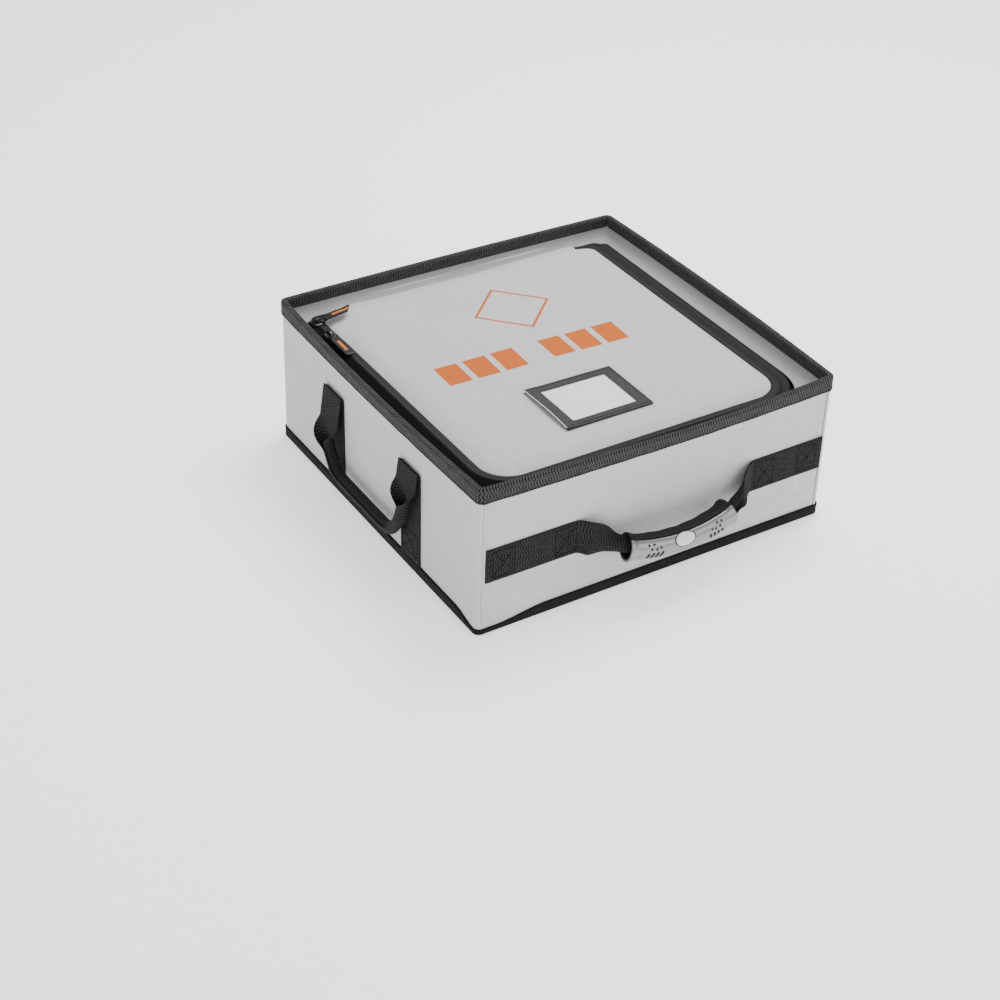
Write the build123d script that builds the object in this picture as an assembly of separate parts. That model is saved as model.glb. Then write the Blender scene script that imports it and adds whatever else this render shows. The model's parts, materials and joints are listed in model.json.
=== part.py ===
"""Square canvas storage bag with a zipped, recessed lid, a front carry grip and a webbing loop at each side.

Frame: +Z up, +X along the front, the front face at -Y.
The origin is the centre of the base, on the surface that the bag stands on.
"""
from build123d import *
import math
import os

# ---- Driving dimensions, in millimetres ----
WIDTH = 420.0            # outside the canvas, along the front
DEPTH = 410.0            # outside the canvas, front to back
HEIGHT = 170.0           # floor to the top of the rim

CANVAS = 0.8             # outer canvas and lining cloth
BOARD = 2.4              # stiffening board in each wall
BASE_BOARD = 2.5
BASE_CLEAR = 0.3         # between the base board and the wall lining
BASE_CORNER_R = 2.5
TAPE = 1.0               # one layer of folded binding tape
CORNER_R = 6.0           # outside radius of the upright corners
RIM_CORNER_R = 9.0       # the stiff tape turns the corner more widely
RIM_INSIDE_R = 1.2
RIM_DROP_OUTSIDE = 17.0
RIM_DROP_INSIDE = 13.0
BOTTOM_BAND = 13.0       # height of the bottom binding, and its width under the base
SEAM_WIDTH = 2.4
SEAM_PROUD = 1.2

LEDGE_TOP = 145.2        # cloth shelf inside the walls that carries the zip
GUSSET_SLOPE = 50.0      # degrees from upright of the cloth between the shelf and the walls
LID_HALF_X = 183.0       # the zip's centre line, left and right
LID_FRONT_Y = -181.0
LID_BACK_Y = 187.0
LID_FRONT_R = 41.0
LID_BACK_R = 7.0
BACK_LEAST_R = 2.0
FOLD_Y = 156.5           # where the lid's cloth folds
FOLD_CLEAR_LID = 0.8     # the lid ends this far in front of the fold
FOLD_CLEAR_COIL = 2.2    # as above for the lid's half of the coil
FOLD_CLEAR_FLAP = 1.7    # the fixed flap starts this far behind it
FOLD_CLEAR_ZIP = 4.6     # as above for the raised zip at the back corners

ZIP_TAPE_WIDTH = 9.5
ZIP_TAPE = 0.7
COIL_WIDTH = 2.3         # half of the closed coil
COIL_HEIGHT = 1.5
COIL_GAP = 0.15          # each half stays this far from the centre line
ZIP_END_X = 158.0        # the zip ends here on the back run, left and right
ZIP_STOP_LENGTH = 4.0
ZIP_STOP_HALF = 3.0

DOME_INSET = 12.0        # the padded part of the lid starts this far inside the zip
DOME_TOP = 150.6
DOME_EDGE_R = 5.0
DOME_BOTTOM = 142.0
COVER = 1.6              # cloth and stitching round the lid's foam

SLIDER_LENGTH = 13.0
SLIDER_WIDTH = 11.0
SLIDER_PLATE = 1.4
SLIDER_CORNER_R = 3.0
SLIDER_CLEAR = 0.3       # between a slider and the coil, or the cloth
FLANGE_LENGTH = 6.6
FLANGE_THICK = 1.2
BRIDGE_R = 4.6           # the arch over the slider that the puller's link runs through
BRIDGE_BORE_R = 2.4
BRIDGE_WIDTH = 3.0
BRIDGE_RISE = 0.6
SLIDER_1_Y = 175.0
SLIDER_2_Y = 144.5
LINK_WIRE_R = 0.7
LINK_REACH = 7.5
LINK_HALF = 3.0
LINK_RISE = 0.9          # the link's pivot above the slider's plate
LINK_CLEAR = 0.05        # between the link's wire and the tab's eye
LID_SIDE_CLEAR = 0.4     # slider 2's lower plate stays this far on the lid's side
TAB_WIDTH = 11.0
TAB_THICK = 1.8
TAB_CORNER_R = 1.6
TAB_OVERLAP = 2.2        # the tab starts this far before the link's far bar
TAB_STRAP_HALF = 2.0
TAB_1_LENGTH = 32.0
TAB_2_LENGTH = 42.0
TAB_1_TILT = 7.0         # degrees above level at rest

LABEL_X = -18.0
LABEL_Y = -97.0
LABEL_LENGTH = 103.0
LABEL_DEPTH = 82.0
WINDOW_LENGTH = 77.0
WINDOW_DEPTH = 61.0
LABEL_HEM = 4.5          # width of the label's stitched edge
LABEL_GAP = 0.3
CARD_LENGTH = 88.0
CARD_DEPTH = 70.0
CARD_THICK = 0.6
CARD_OUT = 2.0           # the card sits this far towards the pocket's open end
FILM_LAP = 4.0

WEBBING = 38.0           # width of every strap
WEBBING_THICK = 1.5
STRAP_Z = 80.0
STRAP_LEFT_END = -93.0
STRAP_RIGHT_END = 106.0
STRAP_OUTER_END = 202.5

GRIP_AXIS_Y = -211.6     # the front handle swings about this line
GRIP_AXIS_Z = 78.0
GRIP_DROOP = 44.0        # degrees below level at rest
GRIP_DEPTH = 29.5        # from the swing axis to the middle of the grip
GRIP_SAG = 9.0           # the grip's ends are this much nearer the axis
GRIP_HALF = 61.5
GRIP_R = 13.5
GRIP_LIP_R = 14.8
GRIP_BORE_R = 10.0
GRIP_SPLIT = 3.0         # the shell covers this much more than half
LIP_LENGTH = 7.0
BADGE_ANGLE = 74.0       # degrees round the grip from its outermost line
BADGE_HALF_LENGTH = 11.0
BADGE_HALF_WIDTH = 7.0
BADGE_PROUD = 0.6
ROPE_R = 4.2             # the gathered webbing where it leaves the wall
KNEE_R = 4.6
KNEE_IN = 11.0           # the gathered webbing turns this far inside its end
KNEE_OUT = 1.2
ROPE_END_IN = 1.0
CORE_CLEAR = 0.3

LOOP_LEG_Y = 79.0        # centres of the side handles' legs
LOOP_TOP_Z = 124.0
LOOP_AXIS_OUT = 4.6      # the loops swing about a line this far outside the canvas
LOOP_TUBE_R = 9.5
LOOP_TUBE_OUT = 12.0     # centre of the rolled part, outside the canvas
LOOP_TUBE_Z = 37.0
LOOP_KNEE_UP = 31.0      # the flat strands meet the rolled part this far above its lowest run
LOOP_TUBE_IN = 21.0      # the rolled part's level run ends this far inside the legs
LOOP_BEND_R = 20.0
STRAND_THICK = 2.0
STRAND_LAP = 6.0

# ---- Derived places ----
HALF_X = WIDTH / 2
HALF_Y = DEPTH / 2
WALL = CANVAS + BOARD + CANVAS
INNER_X = HALF_X - WALL
INNER_Y = HALF_Y - WALL
WALL_TOP = HEIGHT - TAPE
LEDGE_BOTTOM = LEDGE_TOP - CANVAS
TAPE_TOP = LEDGE_TOP + ZIP_TAPE
COIL_TOP = TAPE_TOP + COIL_HEIGHT
PLATE_TOP = COIL_TOP + SLIDER_CLEAR + SLIDER_PLATE
BASE_TOP = TAPE + BASE_BOARD


# ---- Helpers ----
def block(x, y, z):
    """A box between two values on each axis."""
    size = [abs(high - low) for low, high in (x, y, z)]
    middle = [(low + high) / 2 for low, high in (x, y, z)]
    return Pos(*middle) * Box(*size)


def slab(half_x, half_y, radius, z):
    """A plate with rounded corners, centred on the Z axis."""
    return Pos(0, 0, z[0]) * extrude(RectangleRounded(2 * half_x, 2 * half_y, radius), z[1] - z[0])


def mouth_face(inset):
    """The outline of the zip's centre line, moved in by an inset."""
    front = LID_FRONT_Y + inset
    back = LID_BACK_Y - inset
    face = Pos(0, (front + back) / 2) * Rectangle(2 * (LID_HALF_X - inset), back - front)
    face = fillet(face.vertices().group_by(Axis.Y)[0], LID_FRONT_R - inset)
    return fillet(face.vertices().sort_by(Axis.Y)[-2:], max(LID_BACK_R - inset, BACK_LEAST_R))


def mouth(inset, z):
    """A plate with that outline."""
    return Pos(0, 0, z[0]) * extrude(mouth_face(inset), z[1] - z[0])


def mouth_band(inset_outer, inset_inner, z):
    """The band of the zip's outline between two insets."""
    return mouth(inset_outer, z) - mouth(inset_inner, z)


def in_front_of(y):
    """Everything in front of a line across the bag."""
    return block((-WIDTH, WIDTH), (-DEPTH, y), (-HEIGHT, 2 * HEIGHT))


def mirrored(shape):
    """The same shape on the other side of the bag."""
    return mirror(shape, about=Plane.YZ)


NODES = {}


def add(name, *solids):
    """Puts one or more solids in a named node."""
    shapes = [solid for shape in solids for solid in shape.solids()]
    NODES[name] = shapes[0] if len(shapes) == 1 else Compound(children=shapes)


# ---- Walls, base and bindings ----
def make_walls():
    """Canvas, board and lining of the four walls."""
    height = (TAPE, WALL_TOP)
    canvas = slab(HALF_X, HALF_Y, CORNER_R, height)
    canvas -= slab(HALF_X - CANVAS, HALF_Y - CANVAS, CORNER_R - CANVAS, height)
    seam_x = HALF_X - CORNER_R
    front = block((-seam_x, seam_x), (-DEPTH, 0), height)
    back = block((-seam_x, seam_x), (0, DEPTH), height)
    left = block((-WIDTH, -seam_x), (-DEPTH, DEPTH), height)
    add("front_panel", canvas & front)
    add("back_panel", canvas & back)
    add("left_panel", canvas & left)
    add("right_panel", mirrored(canvas & left))

    outside = HALF_Y - CANVAS
    front_board = block((-seam_x, seam_x), (-outside, -outside + BOARD), height)
    add("front_board", front_board)
    add("back_board", mirror(front_board, about=Plane.XZ))
    outside = HALF_X - CANVAS
    side_y = HALF_Y - CORNER_R
    left_board = block((-outside, -outside + BOARD), (-side_y, side_y), height)
    add("left_board", left_board)
    add("right_board", mirrored(left_board))

    lining_r = CORNER_R - CANVAS - BOARD
    lining = slab(INNER_X + CANVAS, INNER_Y + CANVAS, lining_r, height)
    add("wall_lining", lining - slab(INNER_X, INNER_Y, lining_r - CANVAS, height))


def make_base():
    """Canvas, board and lining of the base."""
    bare = BOTTOM_BAND + TAPE
    add("base_panel", block((-HALF_X + bare, HALF_X - bare), (-HALF_Y + bare, HALF_Y - bare), (0, TAPE)))
    half_x = INNER_X - BASE_CLEAR
    half_y = INNER_Y - BASE_CLEAR
    add("base_board", slab(half_x, half_y, BASE_CORNER_R, (TAPE, BASE_TOP)))
    add("base_lining", slab(half_x, half_y, BASE_CORNER_R, (BASE_TOP, BASE_TOP + CANVAS)))


def make_bindings():
    """Folded tape over the rim and round the bottom edge, and the four corner seams."""
    outer = slab(HALF_X + TAPE, HALF_Y + TAPE, RIM_CORNER_R, (HEIGHT - RIM_DROP_OUTSIDE, HEIGHT))
    outer -= slab(HALF_X, HALF_Y, CORNER_R, (0, WALL_TOP))
    outer -= slab(INNER_X - TAPE, INNER_Y - TAPE, RIM_INSIDE_R, (0, HEIGHT))
    inner_z = (HEIGHT - RIM_DROP_INSIDE, WALL_TOP)
    inner = slab(INNER_X, INNER_Y, CORNER_R - WALL, inner_z)
    inner -= slab(INNER_X - TAPE, INNER_Y - TAPE, RIM_INSIDE_R, inner_z)
    add("rim_binding", outer + inner)

    bare = BOTTOM_BAND + TAPE
    band = slab(HALF_X + TAPE, HALF_Y + TAPE, CORNER_R + TAPE, (0, BOTTOM_BAND))
    band -= slab(HALF_X, HALF_Y, CORNER_R, (TAPE, BOTTOM_BAND))
    band -= block((-HALF_X + bare, HALF_X - bare), (-HALF_Y + bare, HALF_Y - bare), (0, TAPE))
    add("bottom_binding", band)

    seam_x = HALF_X - CORNER_R
    seam_z = (BOTTOM_BAND, HEIGHT - RIM_DROP_OUTSIDE)
    seam = block((seam_x - SEAM_WIDTH / 2, seam_x + SEAM_WIDTH / 2), (-HALF_Y - SEAM_PROUD, -HALF_Y), seam_z)
    seams = [seam, mirrored(seam)]
    add("corner_seams", *seams, *[mirror(s, about=Plane.XZ) for s in seams])


# ---- Mouth, zip and lid ----
def make_mouth():
    """The cloth ledge under the zip, the gusset from it to the walls, and the fixed flap behind the fold."""
    z = (LEDGE_BOTTOM, LEDGE_TOP)
    add("mouth_ledge", mouth_band(-ZIP_TAPE_WIDTH, -COIL_GAP, z))
    add("back_flap", mouth(-COIL_GAP, z) - in_front_of(FOLD_Y + FOLD_CLEAR_FLAP))

    slope = math.radians(GUSSET_SLOPE)
    reach = INNER_X - LID_HALF_X
    drop = (reach - ZIP_TAPE_WIDTH) / math.tan(slope)
    height = (LEDGE_TOP - drop, LEDGE_TOP)
    cone = extrude(mouth_face(-ZIP_TAPE_WIDTH), drop, dir=(0, 0, -1), taper=-GUSSET_SLOPE)
    cone = Pos(0, 0, LEDGE_TOP) * cone
    skirt = cone - Pos(0, 0, -CANVAS / math.sin(slope)) * cone - mouth(-ZIP_TAPE_WIDTH, height)
    level = (height[0], height[0] + CANVAS)
    corners = slab(INNER_X, INNER_Y, CORNER_R - WALL, level) - mouth(CANVAS - reach, level)
    add("zip_gusset", (skirt & slab(INNER_X, INNER_Y, CORNER_R - WALL, height)) + corners)


def zip_band(inset_outer, inset_inner, z):
    """A band along the zip, cut where the zip ends on the back run."""
    middle = block((-ZIP_END_X, ZIP_END_X), (0, DEPTH), z)
    return mouth_band(inset_outer, inset_inner, z) - middle


def make_zip():
    """Tapes and coil halves: those of the bag, and those that lift with the lid."""
    tape_z = (LEDGE_TOP, TAPE_TOP)
    coil_z = (TAPE_TOP, COIL_TOP)
    lid_part = in_front_of(FOLD_Y - FOLD_CLEAR_LID)
    corner_part = in_front_of(FOLD_Y + FOLD_CLEAR_ZIP)

    tape_outside = zip_band(-ZIP_TAPE_WIDTH, -COIL_GAP, tape_z)
    tape_inside = zip_band(COIL_GAP, ZIP_TAPE_WIDTH, tape_z)
    add("zip_tape_body", tape_outside, tape_inside - corner_part)
    add("zip_tape_lid", tape_inside & lid_part)

    coil_outside = zip_band(-COIL_WIDTH, -COIL_GAP, coil_z)
    coil_inside = zip_band(COIL_GAP, COIL_WIDTH, coil_z)
    add("zip_coil_body", coil_outside, coil_inside - corner_part)
    add("zip_coil_lid", coil_inside & in_front_of(FOLD_Y - FOLD_CLEAR_COIL))

    stop_x = (ZIP_END_X - ZIP_STOP_LENGTH, ZIP_END_X)
    stop = block(stop_x, (LID_BACK_Y - ZIP_STOP_HALF, LID_BACK_Y + ZIP_STOP_HALF), (LEDGE_TOP, COIL_TOP))
    add("zip_end_stops", stop, mirrored(stop))


def make_lid():
    """The lid's canvas cover, its foam pad and its lining."""
    lid_part = in_front_of(FOLD_Y - FOLD_CLEAR_LID)
    dome_part = in_front_of(FOLD_Y - DOME_INSET)
    foam_part = in_front_of(FOLD_Y - DOME_INSET - COVER)
    dome = mouth(DOME_INSET, (DOME_BOTTOM, DOME_TOP)) & dome_part
    dome = fillet(dome.faces().sort_by(Axis.Z)[-1].edges(), DOME_EDGE_R)
    foam = mouth(DOME_INSET + COVER, (DOME_BOTTOM, DOME_TOP - COVER)) & foam_part
    foam = fillet(foam.faces().sort_by(Axis.Z)[-1].edges(), DOME_EDGE_R - COVER)
    lip = mouth(COIL_GAP, (LEDGE_BOTTOM, LEDGE_TOP)) & lid_part
    add("lid_cover", lip + dome - foam)
    add("lid_foam", foam)
    add("lid_lining", mouth(DOME_INSET, (DOME_BOTTOM - CANVAS, DOME_BOTTOM)) & dome_part)


def make_label():
    """The label pocket on the lid, open at its left end, with its clear window and card."""
    card_z = DOME_TOP + LABEL_GAP
    film_z = card_z + CARD_THICK + LABEL_GAP
    frame_z = film_z + LABEL_GAP
    x = (LABEL_X - LABEL_LENGTH / 2, LABEL_X + LABEL_LENGTH / 2)
    y = (LABEL_Y - LABEL_DEPTH / 2, LABEL_Y + LABEL_DEPTH / 2)
    frame = block(x, y, (frame_z, frame_z + CANVAS))
    frame += block(x, (y[0], y[0] + LABEL_HEM), (DOME_TOP, frame_z))
    frame += block(x, (y[1] - LABEL_HEM, y[1]), (DOME_TOP, frame_z))
    frame += block((x[1] - LABEL_HEM, x[1]), y, (DOME_TOP, frame_z))
    window_x = (LABEL_X - WINDOW_LENGTH / 2, LABEL_X + WINDOW_LENGTH / 2)
    window_y = (LABEL_Y - WINDOW_DEPTH / 2, LABEL_Y + WINDOW_DEPTH / 2)
    add("label_frame", frame - block(window_x, window_y, (frame_z, frame_z + CANVAS)))

    film_x = (window_x[0] - FILM_LAP, window_x[1] + FILM_LAP)
    film_y = (window_y[0] - FILM_LAP, window_y[1] + FILM_LAP)
    add("label_window", block(film_x, film_y, (film_z, frame_z)))

    card_middle = LABEL_X - CARD_OUT
    card_x = (card_middle - CARD_LENGTH / 2, card_middle + CARD_LENGTH / 2)
    card_y = (LABEL_Y - CARD_DEPTH / 2, LABEL_Y + CARD_DEPTH / 2)
    add("label_card", block(card_x, card_y, (card_z, card_z + CARD_THICK)))


# ---- Zip sliders and pullers, drawn along +X at the origin and then placed ----
def slider_body(lower_wing):
    """A slider's upper plate and flanges, and its lower plate over the y range lower_wing."""
    length = (-SLIDER_LENGTH / 2, SLIDER_LENGTH / 2)
    half = SLIDER_WIDTH / 2
    low = COIL_TOP + SLIDER_CLEAR
    plate = block(length, (-half, half), (low, PLATE_TOP))
    plate = fillet(plate.edges().filter_by(Axis.Z), SLIDER_CORNER_R)
    flange_x = (-FLANGE_LENGTH / 2, FLANGE_LENGTH / 2)
    flange = block(flange_x, (half - FLANGE_THICK, half), (TAPE_TOP + SLIDER_CLEAR, low))
    wing_top = LEDGE_BOTTOM - SLIDER_CLEAR
    wing = block(length, lower_wing, (wing_top - SLIDER_PLATE, wing_top))
    return plate + flange + mirror(flange, about=Plane.XZ), wing


def slider_bridge():
    """The arch on a slider, for a puller that lies along +X."""
    arch = Pos(0, 0, PLATE_TOP) * Rot(90, 0, 0) * Cylinder(BRIDGE_R, BRIDGE_WIDTH)
    arch -= Pos(0, 0, PLATE_TOP + BRIDGE_RISE) * Rot(90, 0, 0) * Cylinder(BRIDGE_BORE_R, 2 * BRIDGE_WIDTH)
    return arch & block((-BRIDGE_R, BRIDGE_R), (-BRIDGE_R, BRIDGE_R), (PLATE_TOP, PLATE_TOP + BRIDGE_R))


def puller_shapes(length, tilt):
    """The wire link through the slider's bridge, and the tab that hangs from it."""
    across = Rot(90, 0, 0) * Cylinder(LINK_WIRE_R, 2 * LINK_HALF)
    arm = Pos(LINK_REACH / 2, LINK_HALF, 0) * Rot(0, 90, 0) * Cylinder(LINK_WIRE_R, LINK_REACH)
    link = across + arm + mirror(arm, about=Plane.XZ) + Pos(LINK_REACH, 0, 0) * across
    for x in (0, LINK_REACH):
        for y in (-LINK_HALF, LINK_HALF):
            link += Pos(x, y, 0) * Sphere(LINK_WIRE_R)

    start = LINK_REACH - TAB_OVERLAP
    half = TAB_WIDTH / 2
    thick = (-TAB_THICK / 2, TAB_THICK / 2)
    tab = block((start, start + length), (-half, half), thick)
    tab = fillet(tab.edges().filter_by(Axis.Z), TAB_CORNER_R)
    slot_half = LINK_HALF + LINK_WIRE_R + SLIDER_CLEAR
    slot_end = LINK_REACH + LINK_WIRE_R + SLIDER_CLEAR
    tab -= block((0, slot_end), (-slot_half, slot_half), (-TAB_THICK, TAB_THICK))
    bore_r = LINK_WIRE_R + LINK_CLEAR
    strap = Cylinder(TAB_THICK / 2, 2 * TAB_STRAP_HALF) - Cylinder(bore_r, 3 * TAB_STRAP_HALF)
    strap = Pos(LINK_REACH, 0, 0) * Rot(90, 0, 0) * strap
    neck = block((LINK_REACH + bore_r, slot_end + TAB_OVERLAP), (-TAB_STRAP_HALF, TAB_STRAP_HALF), thick)
    tab += strap + neck
    place = Rot(0, -tilt, 0)
    return place * link, place * tab


def make_sliders():
    """Slider 1 is parked at the zip's end, and slider 2 at the back of the lid's left side."""
    half = SLIDER_WIDTH / 2
    along_side = Rot(0, 0, -90)

    place = Pos(-LID_HALF_X, SLIDER_1_Y, 0)
    body, wing = slider_body((-half, half))
    add("slider_1", place * (along_side * body + slider_bridge()), place * along_side * wing)
    link, tab = puller_shapes(TAB_1_LENGTH, TAB_1_TILT)
    place = Pos(-LID_HALF_X, SLIDER_1_Y, PLATE_TOP + LINK_RISE)
    add("puller_link_1", place * link)
    add("puller_tab_1", place * tab)

    place = Pos(-LID_HALF_X, SLIDER_2_Y, 0) * along_side
    body, wing = slider_body((COIL_GAP + LID_SIDE_CLEAR, half))
    add("slider_2", place * (body + slider_bridge()), place * wing)
    link, tab = puller_shapes(TAB_2_LENGTH, 0)
    place = Pos(-LID_HALF_X, SLIDER_2_Y, PLATE_TOP + LINK_RISE) * along_side
    add("puller_link_2", place * link)
    add("puller_tab_2", place * tab)


# ---- Front strap and carry grip ----
def make_front_strap():
    """The webbing sewn flat to the front wall, left and right of the handle."""
    y = (-HALF_Y - WEBBING_THICK, -HALF_Y)
    z = (STRAP_Z - WEBBING / 2, STRAP_Z + WEBBING / 2)
    add("front_strap_left", block((-STRAP_OUTER_END, STRAP_LEFT_END), y, z))
    add("front_strap_right", block((STRAP_RIGHT_END, STRAP_OUTER_END), y, z))


def grip_plane():
    """Local frame of the front handle: x along the bag, y from the swing axis to the grip."""
    droop = math.radians(GRIP_DROOP)
    middle = (STRAP_LEFT_END + STRAP_RIGHT_END) / 2
    normal = (0, math.sin(droop), -math.cos(droop))
    return Plane(origin=(middle, GRIP_AXIS_Y, GRIP_AXIS_Z), x_dir=(1, 0, 0), z_dir=normal)


def tapered(start, end, radius_start, radius_end):
    """A round bar from one point to another in the handle's plane, with a ball at its end."""
    dx = end[0] - start[0]
    dy = end[1] - start[1]
    length = math.hypot(dx, dy)
    section = Plane(origin=(start[0], start[1], 0), z_dir=(dx, dy, 0))
    bar = section * (Pos(0, 0, length / 2) * Cone(radius_start, radius_end, length))
    return bar + Pos(end[0], end[1], 0) * Sphere(radius_end)


def make_front_handle():
    """Gathered webbing through a bowed grip, whose outer shell and inner liner clasp it."""
    bow_r = (GRIP_HALF ** 2 + GRIP_SAG ** 2) / (2 * GRIP_SAG)
    sweep_angle = math.degrees(2 * math.asin(GRIP_HALF / bow_r))
    bow_axis = Axis((0, GRIP_DEPTH - bow_r, 0), (0, 0, 1))
    place = grip_plane().location

    def bowed(face, angle=sweep_angle):
        """A section at the middle of the grip, drawn round the bow both ways."""
        section = Plane.YZ * (Pos(GRIP_DEPTH, 0) * face)
        turned = section.rotate(bow_axis, -angle / 2)
        return revolve(turned, bow_axis, angle)

    def bowed_end(face, length):
        """A short stretch of the same bow at the grip's right end."""
        angle = math.degrees(length / bow_r)
        section = Plane.YZ * (Pos(GRIP_DEPTH, 0) * face)
        turned = section.rotate(bow_axis, -sweep_angle / 2)
        return revolve(turned, bow_axis, angle)

    ring = Circle(GRIP_R) - Circle(GRIP_BORE_R)
    lip = Circle(GRIP_LIP_R) - Circle(GRIP_BORE_R)
    size = 4 * GRIP_R
    shell_side = Pos(size / 2 - GRIP_SPLIT, 0) * Rectangle(size, size)
    lips = bowed_end(lip & shell_side, LIP_LENGTH)
    shell = bowed(ring & shell_side) + lips + mirrored(lips)
    liner = bowed(ring - shell_side)
    add("grip_shell", place * shell)
    add("grip_liner", place * liner)

    core_r = GRIP_BORE_R - CORE_CLEAR
    entry_r = core_r - 2 * CORE_CLEAR
    rope_end = (STRAP_RIGHT_END - STRAP_LEFT_END) / 2 - ROPE_END_IN
    knee_x = rope_end - KNEE_IN
    entry_y = GRIP_DEPTH - GRIP_SAG
    webbing = bowed(Circle(core_r))
    for side in (-1, 1):
        knee = (side * knee_x, KNEE_OUT)
        webbing += tapered((side * rope_end, 0.0), knee, ROPE_R, KNEE_R)
        webbing += tapered(knee, (side * GRIP_HALF, entry_y), KNEE_R, entry_r)
    add("front_handle_webbing", place * webbing)

    badge_face = Ellipse(BADGE_HALF_LENGTH, BADGE_HALF_WIDTH)
    badge = Pos(0, 0, GRIP_R / 2) * extrude(badge_face, GRIP_R / 2 + BADGE_PROUD)
    badge = Pos(0, GRIP_DEPTH, 0) * Rot(270 - BADGE_ANGLE, 0, 0) * badge
    add("grip_badge", place * (badge - bowed(Circle(GRIP_R))))


# ---- Side handles ----
def make_side_handles():
    """Two sewn legs and one hanging loop at each side."""
    face = -HALF_X
    half = WEBBING / 2
    legs = []
    for y in (-LOOP_LEG_Y, LOOP_LEG_Y):
        legs.append(block((face - WEBBING_THICK, face), (y - half, y + half), (BOTTOM_BAND, LOOP_TOP_Z)))
    add("left_handle_legs", *legs)
    add("right_handle_legs", *[mirrored(leg) for leg in legs])

    axis_x = face - LOOP_AXIS_OUT
    tube_x = face - LOOP_TUBE_OUT
    knee_z = LOOP_TUBE_Z + LOOP_KNEE_UP
    level_y = LOOP_LEG_Y - LOOP_TUBE_IN
    path = FilletPolyline(
        (tube_x, LOOP_LEG_Y, knee_z),
        (tube_x, level_y, LOOP_TUBE_Z),
        (tube_x, -level_y, LOOP_TUBE_Z),
        (tube_x, -LOOP_LEG_Y, knee_z),
        radius=LOOP_BEND_R,
    )
    loop = sweep(Plane(origin=path @ 0, z_dir=path % 0) * Circle(LOOP_TUBE_R), path)
    fold = Rot(90, 0, 0) * Cylinder(STRAND_THICK / 2, WEBBING)
    lean = math.atan2(axis_x - tube_x, LOOP_TOP_Z - knee_z)
    drop = math.hypot(axis_x - tube_x, LOOP_TOP_Z - knee_z) + STRAND_LAP
    strand = Pos(0, 0, -drop / 2) * Box(STRAND_THICK, WEBBING, drop)
    strand = Rot(0, math.degrees(lean), 0) * strand + fold
    for y in (-LOOP_LEG_Y, LOOP_LEG_Y):
        loop += Pos(axis_x, y, LOOP_TOP_Z) * strand
    add("left_handle_loop", loop)
    add("right_handle_loop", mirrored(loop))


make_walls()
make_base()
make_bindings()
make_mouth()
make_zip()
make_lid()
make_label()
make_sliders()
make_front_strap()
make_front_handle()
make_side_handles()

os.makedirs("parts", exist_ok=True)
for node_name, shape in NODES.items():
    export_step(shape, f"parts/{node_name}.step")
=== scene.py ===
"""Visual model of the canvas storage bag: sewn cloth, bindings, zip, webbing and a moulded grip."""
import json
import math

import bpy
import numpy as np
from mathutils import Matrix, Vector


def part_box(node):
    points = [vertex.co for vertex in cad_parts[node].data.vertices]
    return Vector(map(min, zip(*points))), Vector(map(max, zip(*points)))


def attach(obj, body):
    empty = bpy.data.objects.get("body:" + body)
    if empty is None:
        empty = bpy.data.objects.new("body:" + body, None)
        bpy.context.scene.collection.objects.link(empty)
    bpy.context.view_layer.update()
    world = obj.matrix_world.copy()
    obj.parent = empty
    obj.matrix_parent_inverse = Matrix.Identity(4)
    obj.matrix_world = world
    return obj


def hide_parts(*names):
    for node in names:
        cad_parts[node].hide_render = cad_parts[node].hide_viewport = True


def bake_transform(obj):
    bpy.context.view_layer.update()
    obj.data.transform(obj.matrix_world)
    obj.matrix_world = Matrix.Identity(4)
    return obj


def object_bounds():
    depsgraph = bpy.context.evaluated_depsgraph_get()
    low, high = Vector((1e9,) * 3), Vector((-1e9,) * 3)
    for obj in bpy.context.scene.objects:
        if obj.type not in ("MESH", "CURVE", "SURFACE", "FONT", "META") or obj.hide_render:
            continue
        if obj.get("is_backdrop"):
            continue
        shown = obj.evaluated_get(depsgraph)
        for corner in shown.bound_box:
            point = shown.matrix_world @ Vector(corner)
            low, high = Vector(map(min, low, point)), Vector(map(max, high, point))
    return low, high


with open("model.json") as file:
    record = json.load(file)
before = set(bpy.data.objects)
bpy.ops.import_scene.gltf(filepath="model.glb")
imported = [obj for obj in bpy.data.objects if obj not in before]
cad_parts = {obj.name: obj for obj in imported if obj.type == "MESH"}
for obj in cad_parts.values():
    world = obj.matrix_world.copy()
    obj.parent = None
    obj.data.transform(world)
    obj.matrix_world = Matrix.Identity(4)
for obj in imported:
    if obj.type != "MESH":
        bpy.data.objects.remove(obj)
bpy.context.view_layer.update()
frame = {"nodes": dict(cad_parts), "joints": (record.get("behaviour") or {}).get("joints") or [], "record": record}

MM = 0.001


# ---------------------------------------------------------------- places taken from the frame
def node_box(name):
    """Low and high corner of a CAD part."""
    low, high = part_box(name)
    return np.array(low), np.array(high)


JOINTS = {j["name"]: j for j in frame["joints"]}
WALL_X = abs(node_box("left_panel")[0][0])
WALL_Y = abs(node_box("front_panel")[0][1])
SEAM_X = node_box("front_panel")[1][0]
TOP = node_box("rim_binding")[1][2]
IN_X = WALL_X - 4.0 * MM
IN_Y = WALL_Y - 4.0 * MM
LEDGE_LO, LEDGE_HI = node_box("mouth_ledge")
TAPE_W = 9.5 * MM
LEDGE_Z = LEDGE_HI[2]
ZIP_X = LEDGE_HI[0] - TAPE_W
ZIP_FRONT = LEDGE_LO[1] + TAPE_W
ZIP_BACK = LEDGE_HI[1] - TAPE_W
ZIP_FRONT_R = 41.0 * MM
ZIP_BACK_R = 7.0 * MM
GUSSET_LOW = node_box("zip_gusset")[0][2]
DOME_TOP = node_box("lid_cover")[1][2]


# ---------------------------------------------------------------- small maths
def smooth(t):
    """Smooth step from 0 to 1."""
    t = np.clip(t, 0, 1)
    return t * t * (3 - 2 * t)


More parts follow.
